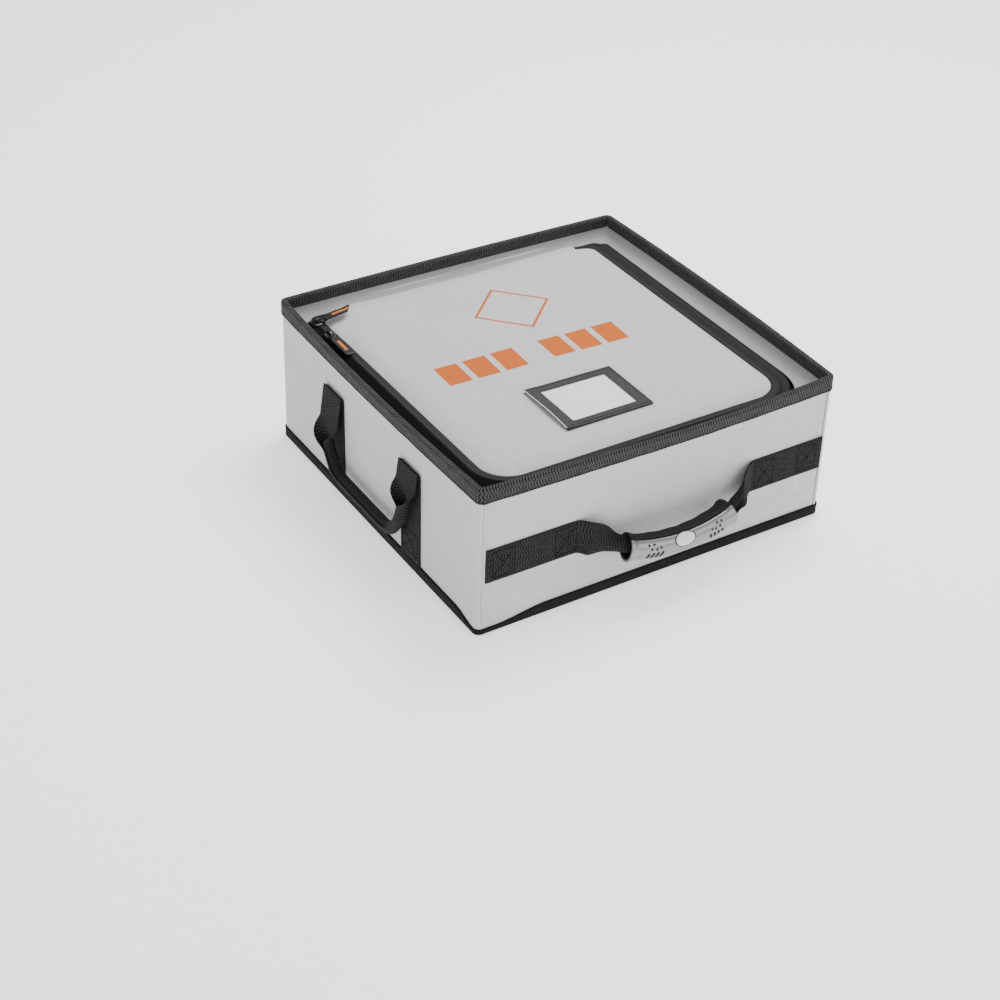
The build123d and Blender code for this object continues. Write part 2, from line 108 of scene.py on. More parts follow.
def bump(x, middle, half):
    """1 at the middle, falling smoothly to 0 at half each side."""
    return smooth(1 - np.abs(np.asarray(x) - middle) / half)


def ridge(px, py, a, b, half, height):
    """A long low ridge or dent from a to b, tapering at its ends."""
    ax, ay = a
    bx, by = b
    length = math.hypot(bx - ax, by - ay)
    ux, uy = (bx - ax) / length, (by - ay) / length
    along = (px - ax) * ux + (py - ay) * uy
    across = -(px - ax) * uy + (py - ay) * ux
    ends = smooth(along / (0.25 * length)) * smooth((length - along) / (0.25 * length))
    return height * np.exp(-((across / half) ** 2)) * ends


def ripple(x, seed, waves, low, high):
    """A smooth repeatable wobble of about unit size."""
    rng = np.random.default_rng(seed)
    x = np.asarray(x, float)
    total = np.zeros_like(x)
    for _ in range(waves):
        f = rng.uniform(low, high)
        total = total + rng.uniform(0.5, 1.0) * np.sin(2 * math.pi * f * x + rng.uniform(0, 6.28))
    return total / waves


def unit(vectors):
    """Rows of vectors, each at length 1."""
    return vectors / np.linalg.norm(vectors, axis=1, keepdims=True)


def running(line):
    """Distance along a line at each of its points."""
    return np.concatenate([[0], np.cumsum(np.linalg.norm(np.diff(line, axis=0), axis=1))])


def around(ring):
    """Distance along a closed line at each of its points, and back at the first."""
    return running(np.concatenate([ring, ring[:1]]))


def run_length(line):
    """Whole length of a line."""
    return float(np.linalg.norm(np.diff(line, axis=0), axis=1).sum())


def normals_of(P, closed_u=False):
    """Unit normals of a grid of points."""
    along = np.roll(P, -1, 0) - np.roll(P, 1, 0) if closed_u else np.gradient(P, axis=0)
    n = np.cross(along, np.gradient(P, axis=1))
    return n / np.maximum(np.linalg.norm(n, axis=-1, keepdims=True), 1e-12)


# ---------------------------------------------------------------- how the soft walls lean
LEAN = {"left": 5.0 * MM, "right": 4.0 * MM, "front": 7.5 * MM, "back": 1.5 * MM}
FRONT_SAG = 1.8 * MM
BOW = {"left": 1.3 * MM, "right": 0.8 * MM, "front": 1.0 * MM, "back": 0.8 * MM}


def warp(P):
    """The soft walls bow outwards a little, and their rims lean out between the corners."""
    P = np.array(P, float)
    x, y, z = P[..., 0].copy(), P[..., 1].copy(), P[..., 2].copy()
    up = np.clip(z / TOP, 0, 1) ** 1.5
    curl = np.clip((z - 0.100) / 0.070, 0, 1.05) ** 3.5
    arc_x = 1 - np.clip(np.abs(y) / WALL_Y, 0, 1) ** 2
    arc_y = 1 - np.clip(np.abs(x) / WALL_X, 0, 1) ** 2
    near_l = smooth((-x - 0.1925) / 0.0115)
    near_r = smooth((x - 0.1925) / 0.0115)
    near_f = smooth((-y - 0.1905) / 0.0095)
    near_b = smooth((y - 0.1945) / 0.0055)
    P[..., 0] += ((BOW["right"] * up + LEAN["right"] * curl) * near_r
                  - (BOW["left"] * up + LEAN["left"] * curl) * near_l) * arc_x
    P[..., 1] += ((BOW["back"] * up + LEAN["back"] * curl) * near_b
                  - (BOW["front"] * up + LEAN["front"] * curl) * near_f) * arc_y
    P[..., 2] -= FRONT_SAG * curl * near_f * bump(x, 0.055, 0.140)
    return P


# ---------------------------------------------------------------- outlines
def outline(half_x, front, back, r_front, r_back, counts):
    """Anticlockwise outline from the back of the left side: points, outward normals, distance along.
    counts is how many steps the left side, an arc, the front, an arc, the right side, an arc, the back
    and an arc take."""
    cx = [-half_x + r_front, half_x - r_front, half_x - r_back, -half_x + r_back]
    cy = [front + r_front, front + r_front, back - r_back, back - r_back]
    rr = [r_front, r_front, r_back, r_back]
    start = [180, 270, 0, 90]
    pts, nor = [], []
    corner = (-half_x, back - r_back)
    for k in range(4):
        first = (cx[k] + rr[k] * math.cos(math.radians(start[k])),
                 cy[k] + rr[k] * math.sin(math.radians(start[k])))
        n_side = (math.cos(math.radians(start[k])), math.sin(math.radians(start[k])))
        steps = counts[2 * k]
        for i in range(steps):
            t = i / steps
            pts.append((corner[0] + (first[0] - corner[0]) * t, corner[1] + (first[1] - corner[1]) * t))
            nor.append(n_side)
        steps = counts[2 * k + 1]
        for i in range(steps):
            a = math.radians(start[k] + 90 * i / steps)
            pts.append((cx[k] + rr[k] * math.cos(a), cy[k] + rr[k] * math.sin(a)))
            nor.append((math.cos(a), math.sin(a)))
        a = math.radians(start[k] + 90)
        corner = (cx[k] + rr[k] * math.cos(a), cy[k] + rr[k] * math.sin(a))
    pts, nor = np.array(pts), np.array(nor)
    step = np.linalg.norm(np.roll(pts, -1, 0) - pts, axis=1)
    dist = np.concatenate([[0], np.cumsum(step)])
    return pts, nor, dist


def zip_outline(inset, counts):
    """The zip's closed outline, moved in by inset."""
    return outline(ZIP_X - inset, ZIP_FRONT + inset, ZIP_BACK - inset, ZIP_FRONT_R - inset,
                   max(ZIP_BACK_R - inset, 2.0 * MM), counts)


# ---------------------------------------------------------------- mesh makers
def mesh_object(name, verts, faces, material, loop_uv):
    """A smooth mesh with one material and a UV map in metres."""
    mesh = bpy.data.meshes.new(name)
    mesh.from_pydata([tuple(v) for v in verts], [], faces)
    mesh.update()
    layer = mesh.uv_layers.new(name="weave")
    layer.data.foreach_set("uv", np.asarray(loop_uv, np.float32).ravel())
    mesh.polygons.foreach_set("use_smooth", [True] * len(mesh.polygons))
    obj = bpy.data.objects.new(name, mesh)
    bpy.context.scene.collection.objects.link(obj)
    mesh.materials.append(material)
    return obj


def lengths(P, axis, closed):
    """Average running length along an axis of a point grid, with one more entry if closed."""
    Q = np.concatenate([P, np.take(P, [0], axis)], axis) if closed else P
    step = np.linalg.norm(np.diff(Q, axis=axis), axis=-1).mean(axis=1 - axis)
    return np.concatenate([[0], np.cumsum(step)])


def grid_faces(nu, nv, closed_u, closed_v, offset=0, flip=False):
    """Quads of a grid of points, and the grid place of each corner."""
    iu = np.arange(nu if closed_u else nu - 1)
    iv = np.arange(nv if closed_v else nv - 1)
    I, J = np.meshgrid(iu, iv, indexing="ij")
    I, J = I.ravel(), J.ravel()
    I2, J2 = (I + 1) % nu, (J + 1) % nv
    quad = np.stack([I * nv + J, I2 * nv + J, I2 * nv + J2, I * nv + J2], 1) + offset
    corners = np.stack([np.stack([I, J], 1), np.stack([I + 1, J], 1), np.stack([I + 1, J + 1], 1),
                        np.stack([I, J + 1], 1)], 1)
    if flip:
        quad, corners = quad[:, ::-1], corners[:, ::-1]
    return quad, corners


def surface(name, P, material, closed_u=False, closed_v=False, u=None, v=None, flip=False, caps=False):
    """A quad surface through a grid of points, with UVs in metres."""
    P = np.asarray(P, float)
    nu, nv = P.shape[:2]
    u = lengths(P, 0, closed_u) if u is None else np.asarray(u)
    v = lengths(P, 1, closed_v) if v is None else np.asarray(v)
    quad, corners = grid_faces(nu, nv, closed_u, closed_v, flip=flip)
    uv = np.stack([u[corners[..., 0]], v[corners[..., 1]]], -1).reshape(-1, 2).tolist()
    faces = quad.tolist()
    if caps and closed_v and not closed_u:
        for row, turn in ((0, not flip), (nu - 1, flip)):
            ring = [row * nv + k for k in range(nv)]
            if turn:
                ring = ring[::-1]
            faces.append(ring)
            uv += [[u[row] + 0.001, v[k % nv]] for k in range(nv)]
    return mesh_object(name, P.reshape(-1, 3), faces, material, uv)


def cloth(name, P, thickness, material, closed_u=False, u=None, v=None, flip=False, inner=None):
    """A closed sheet of cloth: the grid is its outer face, the inner face lies inside by the thickness."""
    P = np.asarray(P, float)
    nu, nv = P.shape[:2]
    u = lengths(P, 0, closed_u) if u is None else np.asarray(u)
    v = lengths(P, 1, False) if v is None else np.asarray(v)
    N = normals_of(P, closed_u)
    if flip:
        N = -N
    inner = P - N * thickness if inner is None else np.asarray(inner, float)
    q1, c1 = grid_faces(nu, nv, closed_u, False, flip=flip)
    q2, c2 = grid_faces(nu, nv, closed_u, False, offset=nu * nv, flip=not flip)
    faces, corners = [q1, q2], [c1, c2]

    def edge(ids, pairs, turn):
        a = np.array(ids)
        b = np.roll(a, -1) if closed_u and len(ids) == nu and pairs == "v" else a[1:]
        a = a if len(b) == len(a) else a[:-1]
        quad = np.stack([a, b, b + nu * nv, a + nu * nv], 1)
        i, j = a // nv, a % nv
        i2, j2 = i + (1 if pairs == "v" else 0), j + (0 if pairs == "v" else 1)
        one = np.stack([np.stack([i, j], 1), np.stack([i2, j2], 1), np.stack([i2, j2], 1),
                        np.stack([i, j], 1)], 1)
        if turn:
            quad, one = quad[:, ::-1], one[:, ::-1]
        faces.append(quad)
        corners.append(one)

    edge([i * nv for i in range(nu)], "v", not flip)
    edge([i * nv + nv - 1 for i in range(nu)], "v", flip)
    if not closed_u:
        edge(list(range(nv)), "u", flip)
        edge([(nu - 1) * nv + k for k in range(nv)], "u", not flip)
    corners = np.concatenate(corners)
    uv = np.stack([u[np.minimum(corners[..., 0], len(u) - 1)], v[corners[..., 1]]], -1)
    verts = np.concatenate([P.reshape(-1, 3), inner.reshape(-1, 3)])
    return mesh_object(name, verts, np.concatenate(faces)[:, ::-1].tolist(), material,
                       uv[:, ::-1].reshape(-1, 2))


def stitches(name, path, normal, material, length=3.2 * MM, gap=1.3 * MM, radius=0.42 * MM, lift=0.15 * MM,
             closed=False):
    """Real stitches along a polyline: short round threads that dip into the cloth at their ends."""
    path = np.asarray(path, float)
    normal = np.asarray(normal, float)
    if normal.ndim == 1:
        normal = np.repeat(normal[None], len(path), 0)
    if closed:
        path = np.concatenate([path, path[:1]])
        normal = np.concatenate([normal, normal[:1]])
    dist = running(path)
    pitch = length + gap
    count = int((dist[-1] - gap) / pitch)
    rings, sides = 5, 6
    verts, faces, uvs = [], [], []
    profile = [(-0.5, 0.35, -0.9), (-0.3, 0.9, 0.1), (0, 1.0, 0.35), (0.3, 0.9, 0.1), (0.5, 0.35, -0.9)]
    for k in range(count):
        s = gap + pitch * k + length / 2
        at = lambda d: np.array([np.interp(d, dist, path[:, c]) for c in range(3)])
        mid, fore, aft = at(s), at(min(s + length / 2, dist[-1])), at(s - length / 2)
        tang = fore - aft
        size = np.linalg.norm(tang)
        if size < 1e-9:
            continue
        tang = tang / size
        nrm = np.array([np.interp(s, dist, normal[:, c]) for c in range(3)])
        nrm = nrm / max(np.linalg.norm(nrm), 1e-9)
        side = np.cross(tang, nrm)
        base = len(verts)
        for t, r, h in profile:
            centre = mid + tang * t * length + nrm * (lift + h * radius)
            for m in range(sides):
                a = 2 * math.pi * m / sides
                verts.append(centre + (side * math.cos(a) + nrm * math.sin(a)) * radius * r)
        for i in range(rings - 1):
            for m in range(sides):
                m2 = (m + 1) % sides
                faces.append([base + i * sides + m, base + i * sides + m2, base + (i + 1) * sides + m2,
                              base + (i + 1) * sides + m])
                uvs += [[s + profile[i][0] * length, 0.001 * m],
                        [s + profile[i][0] * length, 0.001 * (m + 1)],
                        [s + profile[i + 1][0] * length, 0.001 * (m + 1)],
                        [s + profile[i + 1][0] * length, 0.001 * m]]
        faces.append([base + m for m in range(sides)])
        faces.append([base + (rings - 1) * sides + m for m in reversed(range(sides))])
        uvs += [[s, 0.0]] * (2 * sides)
    return mesh_object(name, verts, faces, material, uvs)


# ---------------------------------------------------------------- materials
class Nodes:
    """Short way to build a node tree."""

    def __init__(self, name):
        self.material = bpy.data.materials.new(name)
        self.material.use_nodes = True
        self.tree = self.material.node_tree
        self.shader = self.tree.nodes["Principled BSDF"]

    def add(self, kind, **settings):
        node = self.tree.nodes.new(kind)
        for key, value in settings.items():
            setattr(node, key, value)
        return node

    def put(self, socket, value):
        if isinstance(value, bpy.types.NodeSocket):
            self.tree.links.new(value, socket)
        else:
            socket.default_value = value

    def math(self, op, a, b=0.0, c=0.0, clamp=False):
        node = self.add("ShaderNodeMath", operation=op, use_clamp=clamp)
        for socket, value in zip(node.inputs, (a, b, c)):
            self.put(socket, value)
        return node.outputs[0]

    def uv(self):
        node = self.add("ShaderNodeUVMap", uv_map="weave")
        split = self.add("ShaderNodeSeparateXYZ")
        self.put(split.inputs[0], node.outputs[0])
        return split.outputs[0], split.outputs[1]

    def noise(self, vector, scale, detail=3.0, rough=0.55):
        node = self.add("ShaderNodeTexNoise")
        self.put(node.inputs["Vector"], vector)
        node.inputs["Scale"].default_value = scale
        node.inputs["Detail"].default_value = detail
        node.inputs["Roughness"].default_value = rough
        return node.outputs[0]

    def around_one(self, value, amount):
        """A noise value turned into a factor close to 1."""
        return self.math("MULTIPLY_ADD", self.math("SUBTRACT", value, 0.5), amount, 1.0)

    def grey(self, value):
        """The value as a grey colour."""
        node = self.add("ShaderNodeCombineXYZ")
        for socket in node.inputs:
            self.put(socket, value)
        return node.outputs[0]

    def object_coords(self):
        return self.add("ShaderNodeTexCoord").outputs["Object"]

    def mix(self, factor, a, b, blend="MIX"):
        node = self.add("ShaderNodeMix", data_type="RGBA", blend_type=blend)
        self.put(node.inputs["Factor"], factor)
        for socket, value in ((node.inputs[6], a), (node.inputs[7], b)):
            self.put(socket, value if isinstance(value, bpy.types.NodeSocket) else (*value, 1.0))
        return node.outputs[2]

    def bump(self, height, distance, strength=1.0, normal=None):
        node = self.add("ShaderNodeBump")
        node.inputs["Strength"].default_value = strength
        node.inputs["Distance"].default_value = distance
        self.put(node.inputs["Height"], height)
        if normal is not None:
            self.put(node.inputs["Normal"], normal)
        return node.outputs[0]


def weave_height(n, kind, pitch, u, v):
    """Height from 0 to 1 of a woven surface, in metres of cloth."""
    pi = math.pi

    def yarns(t, width):
        return n.math("ABSOLUTE", n.math("SINE", n.math("MULTIPLY", t, pi / width)))

    if kind == "plain":
        a = yarns(u, pitch)
        b = yarns(v, pitch)
        sa = n.math("SINE", n.math("MULTIPLY", u, pi / pitch))
        sb = n.math("SINE", n.math("MULTIPLY", v, pi / pitch))
        over = n.math("GREATER_THAN", n.math("MULTIPLY", sa, sb), 0.0)
        warp_yarn = n.math("MULTIPLY", a, n.math("MULTIPLY_ADD", b, 0.5, 0.5))
        weft_yarn = n.math("MULTIPLY", b, n.math("MULTIPLY_ADD", a, 0.5, 0.5))
        d = n.math("SUBTRACT", warp_yarn, weft_yarn)
        return n.math("ADD", weft_yarn, n.math("MULTIPLY", d, over))
    if kind == "rib":
        a = yarns(u, pitch)
        b = yarns(v, 0.7 * pitch)
        return n.math("MULTIPLY", a, n.math("MULTIPLY_ADD", b, 0.35, 0.65))
    if kind == "oxford":
        slope = n.math("MULTIPLY_ADD", v, 0.55, u)
        twill = n.math("MULTIPLY_ADD", n.math("SINE", n.math("MULTIPLY", slope, 2 * pi / (1.75 * pitch))),
                       0.5, 0.5)
        a = yarns(u, pitch)
        b = yarns(v, pitch)
        grid = n.math("MULTIPLY", n.math("MULTIPLY_ADD", a, 0.5, 0.5), n.math("MULTIPLY_ADD", b, 0.5, 0.5))
        return n.math("MULTIPLY", grid, n.math("MULTIPLY_ADD", twill, 0.6, 0.4))
    if kind == "zigzag":
        sway = n.math("MULTIPLY", n.math("PINGPONG", v, 1.1 * pitch), 0.55)
        a = yarns(n.math("ADD", u, sway), pitch)
        b = yarns(v, 0.8 * pitch)
        return n.math("MULTIPLY", a, n.math("MULTIPLY_ADD", b, 0.35, 0.65))
    knit = n.math("MULTIPLY_ADD", n.math("PINGPONG", v, 1.4 * pitch), 1.0, u)
    a = yarns(knit, pitch)
    b = yarns(v, 0.55 * pitch)
    return n.math("MULTIPLY", a, n.math("MULTIPLY_ADD", b, 0.3, 0.7))


def fabric(name, colour, kind, pitch, depth=0.25, relief=0.18 * MM, blotch=0.05, speckle=0.12, rough=0.85,
           sheen=0.3, dust=0.0, painted=None, slub=0.0, ribs=0.0):
    """Woven cloth: weave relief, yarn speckle, slow colour change, painted shade in the weave's hollows with
    painted light on its raised yarns and ribs, and a little dust on the high yarns.
    """
    n = Nodes(name)
    u, v = n.uv()
    h = weave_height(n, kind, pitch, u, v)
    where = n.object_coords()
    slow = n.noise(where, 14.0, 4.0)
    fine = n.noise(where, 700.0, 2.0)
    yarn = n.noise(where, 180.0, 3.0)
    shade = n.around_one(slow, 2 * blotch)
    shade = n.math("MULTIPLY", shade, n.around_one(fine, 2 * speckle))
    shade = n.math("MULTIPLY", shade, n.around_one(yarn, speckle + slub))
    # painted shade and light: darker in the weave's hollows, lighter on its raised yarns
    shade = n.math("MULTIPLY", shade, n.math("MULTIPLY_ADD", h, depth, 1.0 - 0.62 * depth))
    # painted light and shade on the ribs: bright crests, dark grooves
    if ribs:
        shade = n.math("MULTIPLY", shade, n.math("MULTIPLY_ADD", n.math("POWER", h, 2.0), ribs,
                                                 1.0 - 0.45 * ribs))
    base = n.mix(1.0, colour, (1, 1, 1), "MULTIPLY")
    if painted is not None:
        base = painted(n, u, v, base, h)
    tint = n.mix(1.0, base, n.grey(shade), "MULTIPLY")
    if dust:
        patch = n.math("MULTIPLY", n.noise(where, 45.0, 5.0, 0.65), n.math("POWER", h, 2.0))
        tint = n.mix(n.math("MULTIPLY", patch, dust), tint, (0.42, 0.41, 0.39))
    n.put(n.shader.inputs["Base Color"], tint)
    n.put(n.shader.inputs["Roughness"], n.math("MULTIPLY_ADD", slow, 0.12, rough - 0.06, clamp=True))
    n.shader.inputs["Sheen Weight"].default_value = sheen
    n.shader.inputs["Sheen Roughness"].default_value = 0.55
    n.shader.inputs["Specular IOR Level"].default_value = 0.12
    coarse = n.bump(n.noise(where, 320.0, 2.0), 0.10 * MM, 0.6)
    n.put(n.shader.inputs["Normal"], n.bump(h, relief, 1.0, coarse))
    return n.material


def solid(name, colour, rough=0.4, metallic=0.0, grain=900.0, relief=0.03 * MM, wear=0.25,
          worn=(0.3, 0.3, 0.3), coat=0.0,
          specular=0.5, blotch=0.06, painted=None):
    """Moulded plastic, rubber or lacquered metal with fine grain, slow change and rubbed patches."""
    n = Nodes(name)
    u, v = n.uv()
    where = n.object_coords()
    slow = n.noise(where, 60.0, 4.0)
    fine = n.noise(where, grain, 2.0)
    scuff = n.noise(where, 160.0, 6.0, 0.7)
    base = n.mix(1.0, colour, n.grey(n.around_one(slow, 2 * blotch)), "MULTIPLY")
    if painted is not None:
        base = painted(n, u, v, base, fine)
    edge = n.math("MULTIPLY", n.math("GREATER_THAN", scuff, 0.62), wear)
    n.put(n.shader.inputs["Base Color"], n.mix(edge, base, worn))
    n.put(n.shader.inputs["Roughness"], n.math("MULTIPLY_ADD", fine, 0.18, rough - 0.09, clamp=True))
    n.shader.inputs["Metallic"].default_value = metallic
    n.shader.inputs["Specular IOR Level"].default_value = specular
    n.shader.inputs["Coat Weight"].default_value = coat
    n.shader.inputs["Coat Roughness"].default_value = 0.15
    n.put(n.shader.inputs["Normal"], n.bump(fine, relief, 0.8))
    return n.material


def inside(n, u, v, middle, half, turn=0.0):
    """1 inside a turned rectangle of the cloth, given in metres, else 0."""
    c, s = math.cos(turn), math.sin(turn)
    du = n.math("SUBTRACT", u, middle[0])
    dv = n.math("SUBTRACT", v, middle[1])
    a = n.math("ABSOLUTE", n.math("ADD", n.math("MULTIPLY", du, c), n.math("MULTIPLY", dv, s)))
    b = n.math("ABSOLUTE", n.math("SUBTRACT", n.math("MULTIPLY", dv, c), n.math("MULTIPLY", du, s)))
    return n.math("MULTIPLY", n.math("LESS_THAN", a, half[0]), n.math("LESS_THAN", b, half[1]))


ORANGE = (0.62, 0.125, 0.0)
TAB_ORANGE = (0.62, 0.19, 0.015)
PRINT_TURN = -0.028
BAR_CENTRES = [-113, -80, -47, 10, 43, 76]
BAR_HALF = (13.0 * MM, 18.5 * MM)
SQUARE_AT = (12 * MM, 97 * MM)
SQUARE_OUT, SQUARE_IN = 33 * MM, 30 * MM


def lid_print(n, u, v, base, h):
    """A plain row of bars with a plain square outline behind it, printed on the lid."""
    mask = None
    for x in BAR_CENTRES:
        y = 5.5 + PRINT_TURN * x
        one = inside(n, u, v, (x * MM, y * MM), BAR_HALF, PRINT_TURN)
        mask = one if mask is None else n.math("MAXIMUM", mask, one)
    outer = inside(n, u, v, SQUARE_AT, (SQUARE_OUT, SQUARE_OUT), PRINT_TURN + math.pi / 4)
    inner = inside(n, u, v, SQUARE_AT, (SQUARE_IN, SQUARE_IN), PRINT_TURN + math.pi / 4)
    mask = n.math("MAXIMUM", mask, n.math("SUBTRACT", outer, inner))
    cover = n.math("MULTIPLY", mask, n.math("MULTIPLY_ADD", h, 0.06, 0.94))
    return n.mix(cover, base, ORANGE)


def tab_print(n, u, v, base, h):
    """One plain bar along the puller tab."""
    mask = inside(n, u, v, (0.019, 0.0), (0.0095, 0.0016))
    return n.mix(mask, base, TAB_ORANGE)


def card_print(n, u, v, base, h):
    """Ruled lines on the card."""
    line = n.math("LESS_THAN", n.math("FRACT", n.math("MULTIPLY", v, 1 / 0.0085)), 0.055)
    room = inside(n, u, v, (0.0, 0.0), (0.034, 0.024))
    return n.mix(n.math("MULTIPLY", n.math("MULTIPLY", line, room), 0.35), base, (0.45, 0.46, 0.48))


CANVAS_TONE = (0.60, 0.60, 0.602)
MATERIAL = {
    "canvas": fabric("canvas_weave", CANVAS_TONE, "oxford", 1.35 * MM, depth=0.42, relief=0.34 * MM,
                     blotch=0.05,
                     speckle=0.16, sheen=0.08),
    "lid": fabric("lid_canvas_weave", CANVAS_TONE, "oxford", 1.35 * MM, depth=0.42, relief=0.34 * MM,
                  blotch=0.05,
                  speckle=0.16, sheen=0.08, painted=lid_print),
    "lining": fabric("lining_weave", (0.33, 0.33, 0.335), "rib", 2.4 * MM, depth=0.30, relief=0.15 * MM,
                     blotch=0.08,
                     speckle=0.06, sheen=0.15),
    "rim": fabric("binding_herringbone", (0.034, 0.034, 0.035), "zigzag", 3.1 * MM, depth=0.8,
                  relief=0.6 * MM,
                  blotch=0.12, speckle=0.45, slub=0.35, dust=0.06, sheen=0.04, ribs=1.5),
    "bottom": fabric("bottom_binding_weave", (0.007, 0.007, 0.0072), "zigzag", 2.8 * MM, depth=0.8,
                     relief=0.4 * MM,
                     blotch=0.15, speckle=0.5, slub=0.4, dust=0.03, sheen=0.02, ribs=1.2),
    "webbing": fabric("webbing_weave", (0.013, 0.013, 0.0135), "zigzag", 3.0 * MM, depth=0.9,
                      relief=0.6 * MM,
                      blotch=0.12, speckle=0.45, slub=0.3, dust=0.04, sheen=0.03, rough=0.8, ribs=1.7),
    "tape": fabric("zip_tape_knit", (0.026, 0.026, 0.0265), "knit", 0.8 * MM, depth=0.4, relief=0.08 * MM,
                   blotch=0.08,
                   speckle=0.2, sheen=0.03),
    "gusset": fabric("gusset_weave", (0.003, 0.003, 0.003), "knit", 0.9 * MM, depth=0.4, relief=0.10 * MM,
                     speckle=0.2,
                     sheen=0.0),
    "border": fabric("label_grosgrain", (0.055, 0.055, 0.056), "rib", 1.3 * MM, depth=0.7,
                     relief=0.25 * MM, blotch=0.08,
                     speckle=0.35, slub=0.3, sheen=0.05),
    "thread_grey": fabric("thread_grey", (0.60, 0.60, 0.60), "rib", 0.5 * MM, depth=0.4, relief=0.05 * MM,
                          sheen=0.05),
    "thread_black": fabric("thread_black", (0.012, 0.012, 0.0125), "rib", 0.5 * MM, depth=0.4,
                           relief=0.05 * MM, sheen=0.0),
    "piping": fabric("seam_fold_weave", (0.60, 0.60, 0.60), "plain", 1.0 * MM, depth=0.25,
                     relief=0.12 * MM),
    "board": solid("fibre_board", (0.20, 0.19, 0.18), rough=0.8, grain=300.0, relief=0.2 * MM,
                   specular=0.2),
    "foam": solid("open_foam", (0.75, 0.74, 0.68), rough=0.95, grain=500.0, relief=0.4 * MM, specular=0.1,
                  wear=0.0),
    "coil": solid("nylon_coil", (0.006, 0.006, 0.0065), rough=0.42, grain=600.0, wear=0.1,
                  worn=(0.08, 0.08, 0.08)),
    "lacquer": solid("black_lacquer", (0.006, 0.006, 0.007), rough=0.2, metallic=0.3, grain=400.0,
                     relief=0.01 * MM,
                     wear=0.18, worn=(0.06, 0.06, 0.065), coat=0.6),
    "tab": solid("puller_moulded", (0.010, 0.010, 0.012), rough=0.38, grain=1200.0, relief=0.03 * MM,
                 wear=0.10,
                 worn=(0.04, 0.04, 0.045), specular=0.35, painted=tab_print),
    "silver": solid("grip_silver", (0.24, 0.24, 0.245), rough=0.32, metallic=0.8, grain=1500.0,
                    relief=0.02 * MM,
                    wear=0.10, worn=(0.20, 0.20, 0.21), coat=0.1),
    "dark": solid("grip_soft_dark", (0.006, 0.006, 0.0065), rough=0.6, grain=1100.0, relief=0.06 * MM,
                  wear=0.10,
                  worn=(0.02, 0.02, 0.02), specular=0.25),
    "badge": solid("badge_satin", (0.72, 0.72, 0.73), rough=0.28, grain=900.0, relief=0.01 * MM, wear=0.05,
                   worn=(0.5, 0.5, 0.5), coat=0.3),
    "card": solid("card_stock", (0.90, 0.90, 0.90), rough=0.6, grain=1500.0, relief=0.02 * MM, wear=0.0,
                  blotch=0.01,
                  specular=0.3, painted=card_print),
}


def film_material():
    """Clear flexible film, a little rippled."""
    n = Nodes("window_film")
    where = n.object_coords()
    ripples = n.noise(where, 55.0, 3.0)
    n.put(n.shader.inputs["Base Color"], n.mix(ripples, (0.97, 0.97, 0.97), (0.92, 0.93, 0.93)))
    n.put(n.shader.inputs["Roughness"], n.math("MULTIPLY_ADD", n.noise(where, 200.0, 4.0), 0.12, 0.05))
    n.shader.inputs["Transmission Weight"].default_value = 1.0
    n.shader.inputs["IOR"].default_value = 1.12
    n.shader.inputs["Alpha"].default_value = 0.22
    n.put(n.shader.inputs["Normal"], n.bump(ripples, 0.4 * MM, 0.5))
    return n.material


MATERIAL["film"] = film_material()


def finish_piece(obj, body, slot, *replaced):
    """Fixes a piece to its body and hides the CAD parts that it stands for; its slot is not used."""
    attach(obj, body)
    if replaced:
        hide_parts(*replaced)
    return obj


def bent_bar(name, line, side, half_width, half_thick, material, sides=12):
    """A flat bar with round edges along a line; side is its width direction."""
    line = np.asarray(line, float)
    tang = unit(np.gradient(line, axis=0))
    side = np.asarray(side, float) / np.linalg.norm(side)
    up = np.cross(tang, side)
    a = np.linspace(0, 2 * math.pi, sides + 1)[:-1]
    c = np.sign(np.cos(a)) * np.abs(np.cos(a)) ** 0.5
    s = np.sign(np.sin(a)) * np.abs(np.sin(a)) ** 0.8
    P = line[:, None] + c[None, :, None] * half_width * side + s[None, :, None] * half_thick * up[:, None]
    return surface(name, P, material, closed_v=True, caps=True)


def sheet_piece(obj, body, slot, flat, held, rests_on, *replaced):
    """finish_piece for a piece of cloth; its flat size is not used."""
    finish_piece(obj, body, slot, *replaced)
    return obj


# ---------------------------------------------------------------- outer walls
CANVAS = 0.8 * MM
BOARD = 2.4 * MM
CORNER_R = 6.0 * MM
BACK_STRETCH = 0.83
WALL_FOOT = 1.2 * MM
WALL_STEP = 3.0 * MM
WALL_HEAD = TOP - 1.2 * MM


def wall_z():
    """Heights of a wall's rows of points."""
    return np.linspace(WALL_FOOT, WALL_HEAD, int((WALL_HEAD - WALL_FOOT) / WALL_STEP) + 1)


def calm(from_edge, z):
    """0 by a wall's seams, foot and rim, where it is sewn flat, rising to 1."""
    return smooth(from_edge / 0.012) * smooth((z - 0.012) / 0.02) * smooth((0.152 - z) / 0.02)


def front_relief(x, z):
    """Soft dents and folds of the front wall."""
    d = ridge(x, z, (-0.200, 0.060), (-0.120, 0.016), 0.010, 1.6 * MM)
    d += ridge(x, z, (-0.150, 0.040), (-0.060, 0.030), 0.012, 0.5 * MM)
    d += ridge(x, z, (0.120, 0.020), (0.180, 0.054), 0.006, 1.4 * MM)
    d += ridge(x, z, (0.150, 0.014), (0.203, 0.040), 0.005, 1.6 * MM)
    d += ridge(x, z, (-0.195, 0.140), (-0.120, 0.128), 0.010, 0.5 * MM)
    d += ridge(x, z, (0.030, 0.125), (0.190, 0.138), 0.012, 0.5 * MM)
    d += 0.45 * MM * (1 + ripple(x + z * 0.4, 3, 5, 4, 14))
    return d


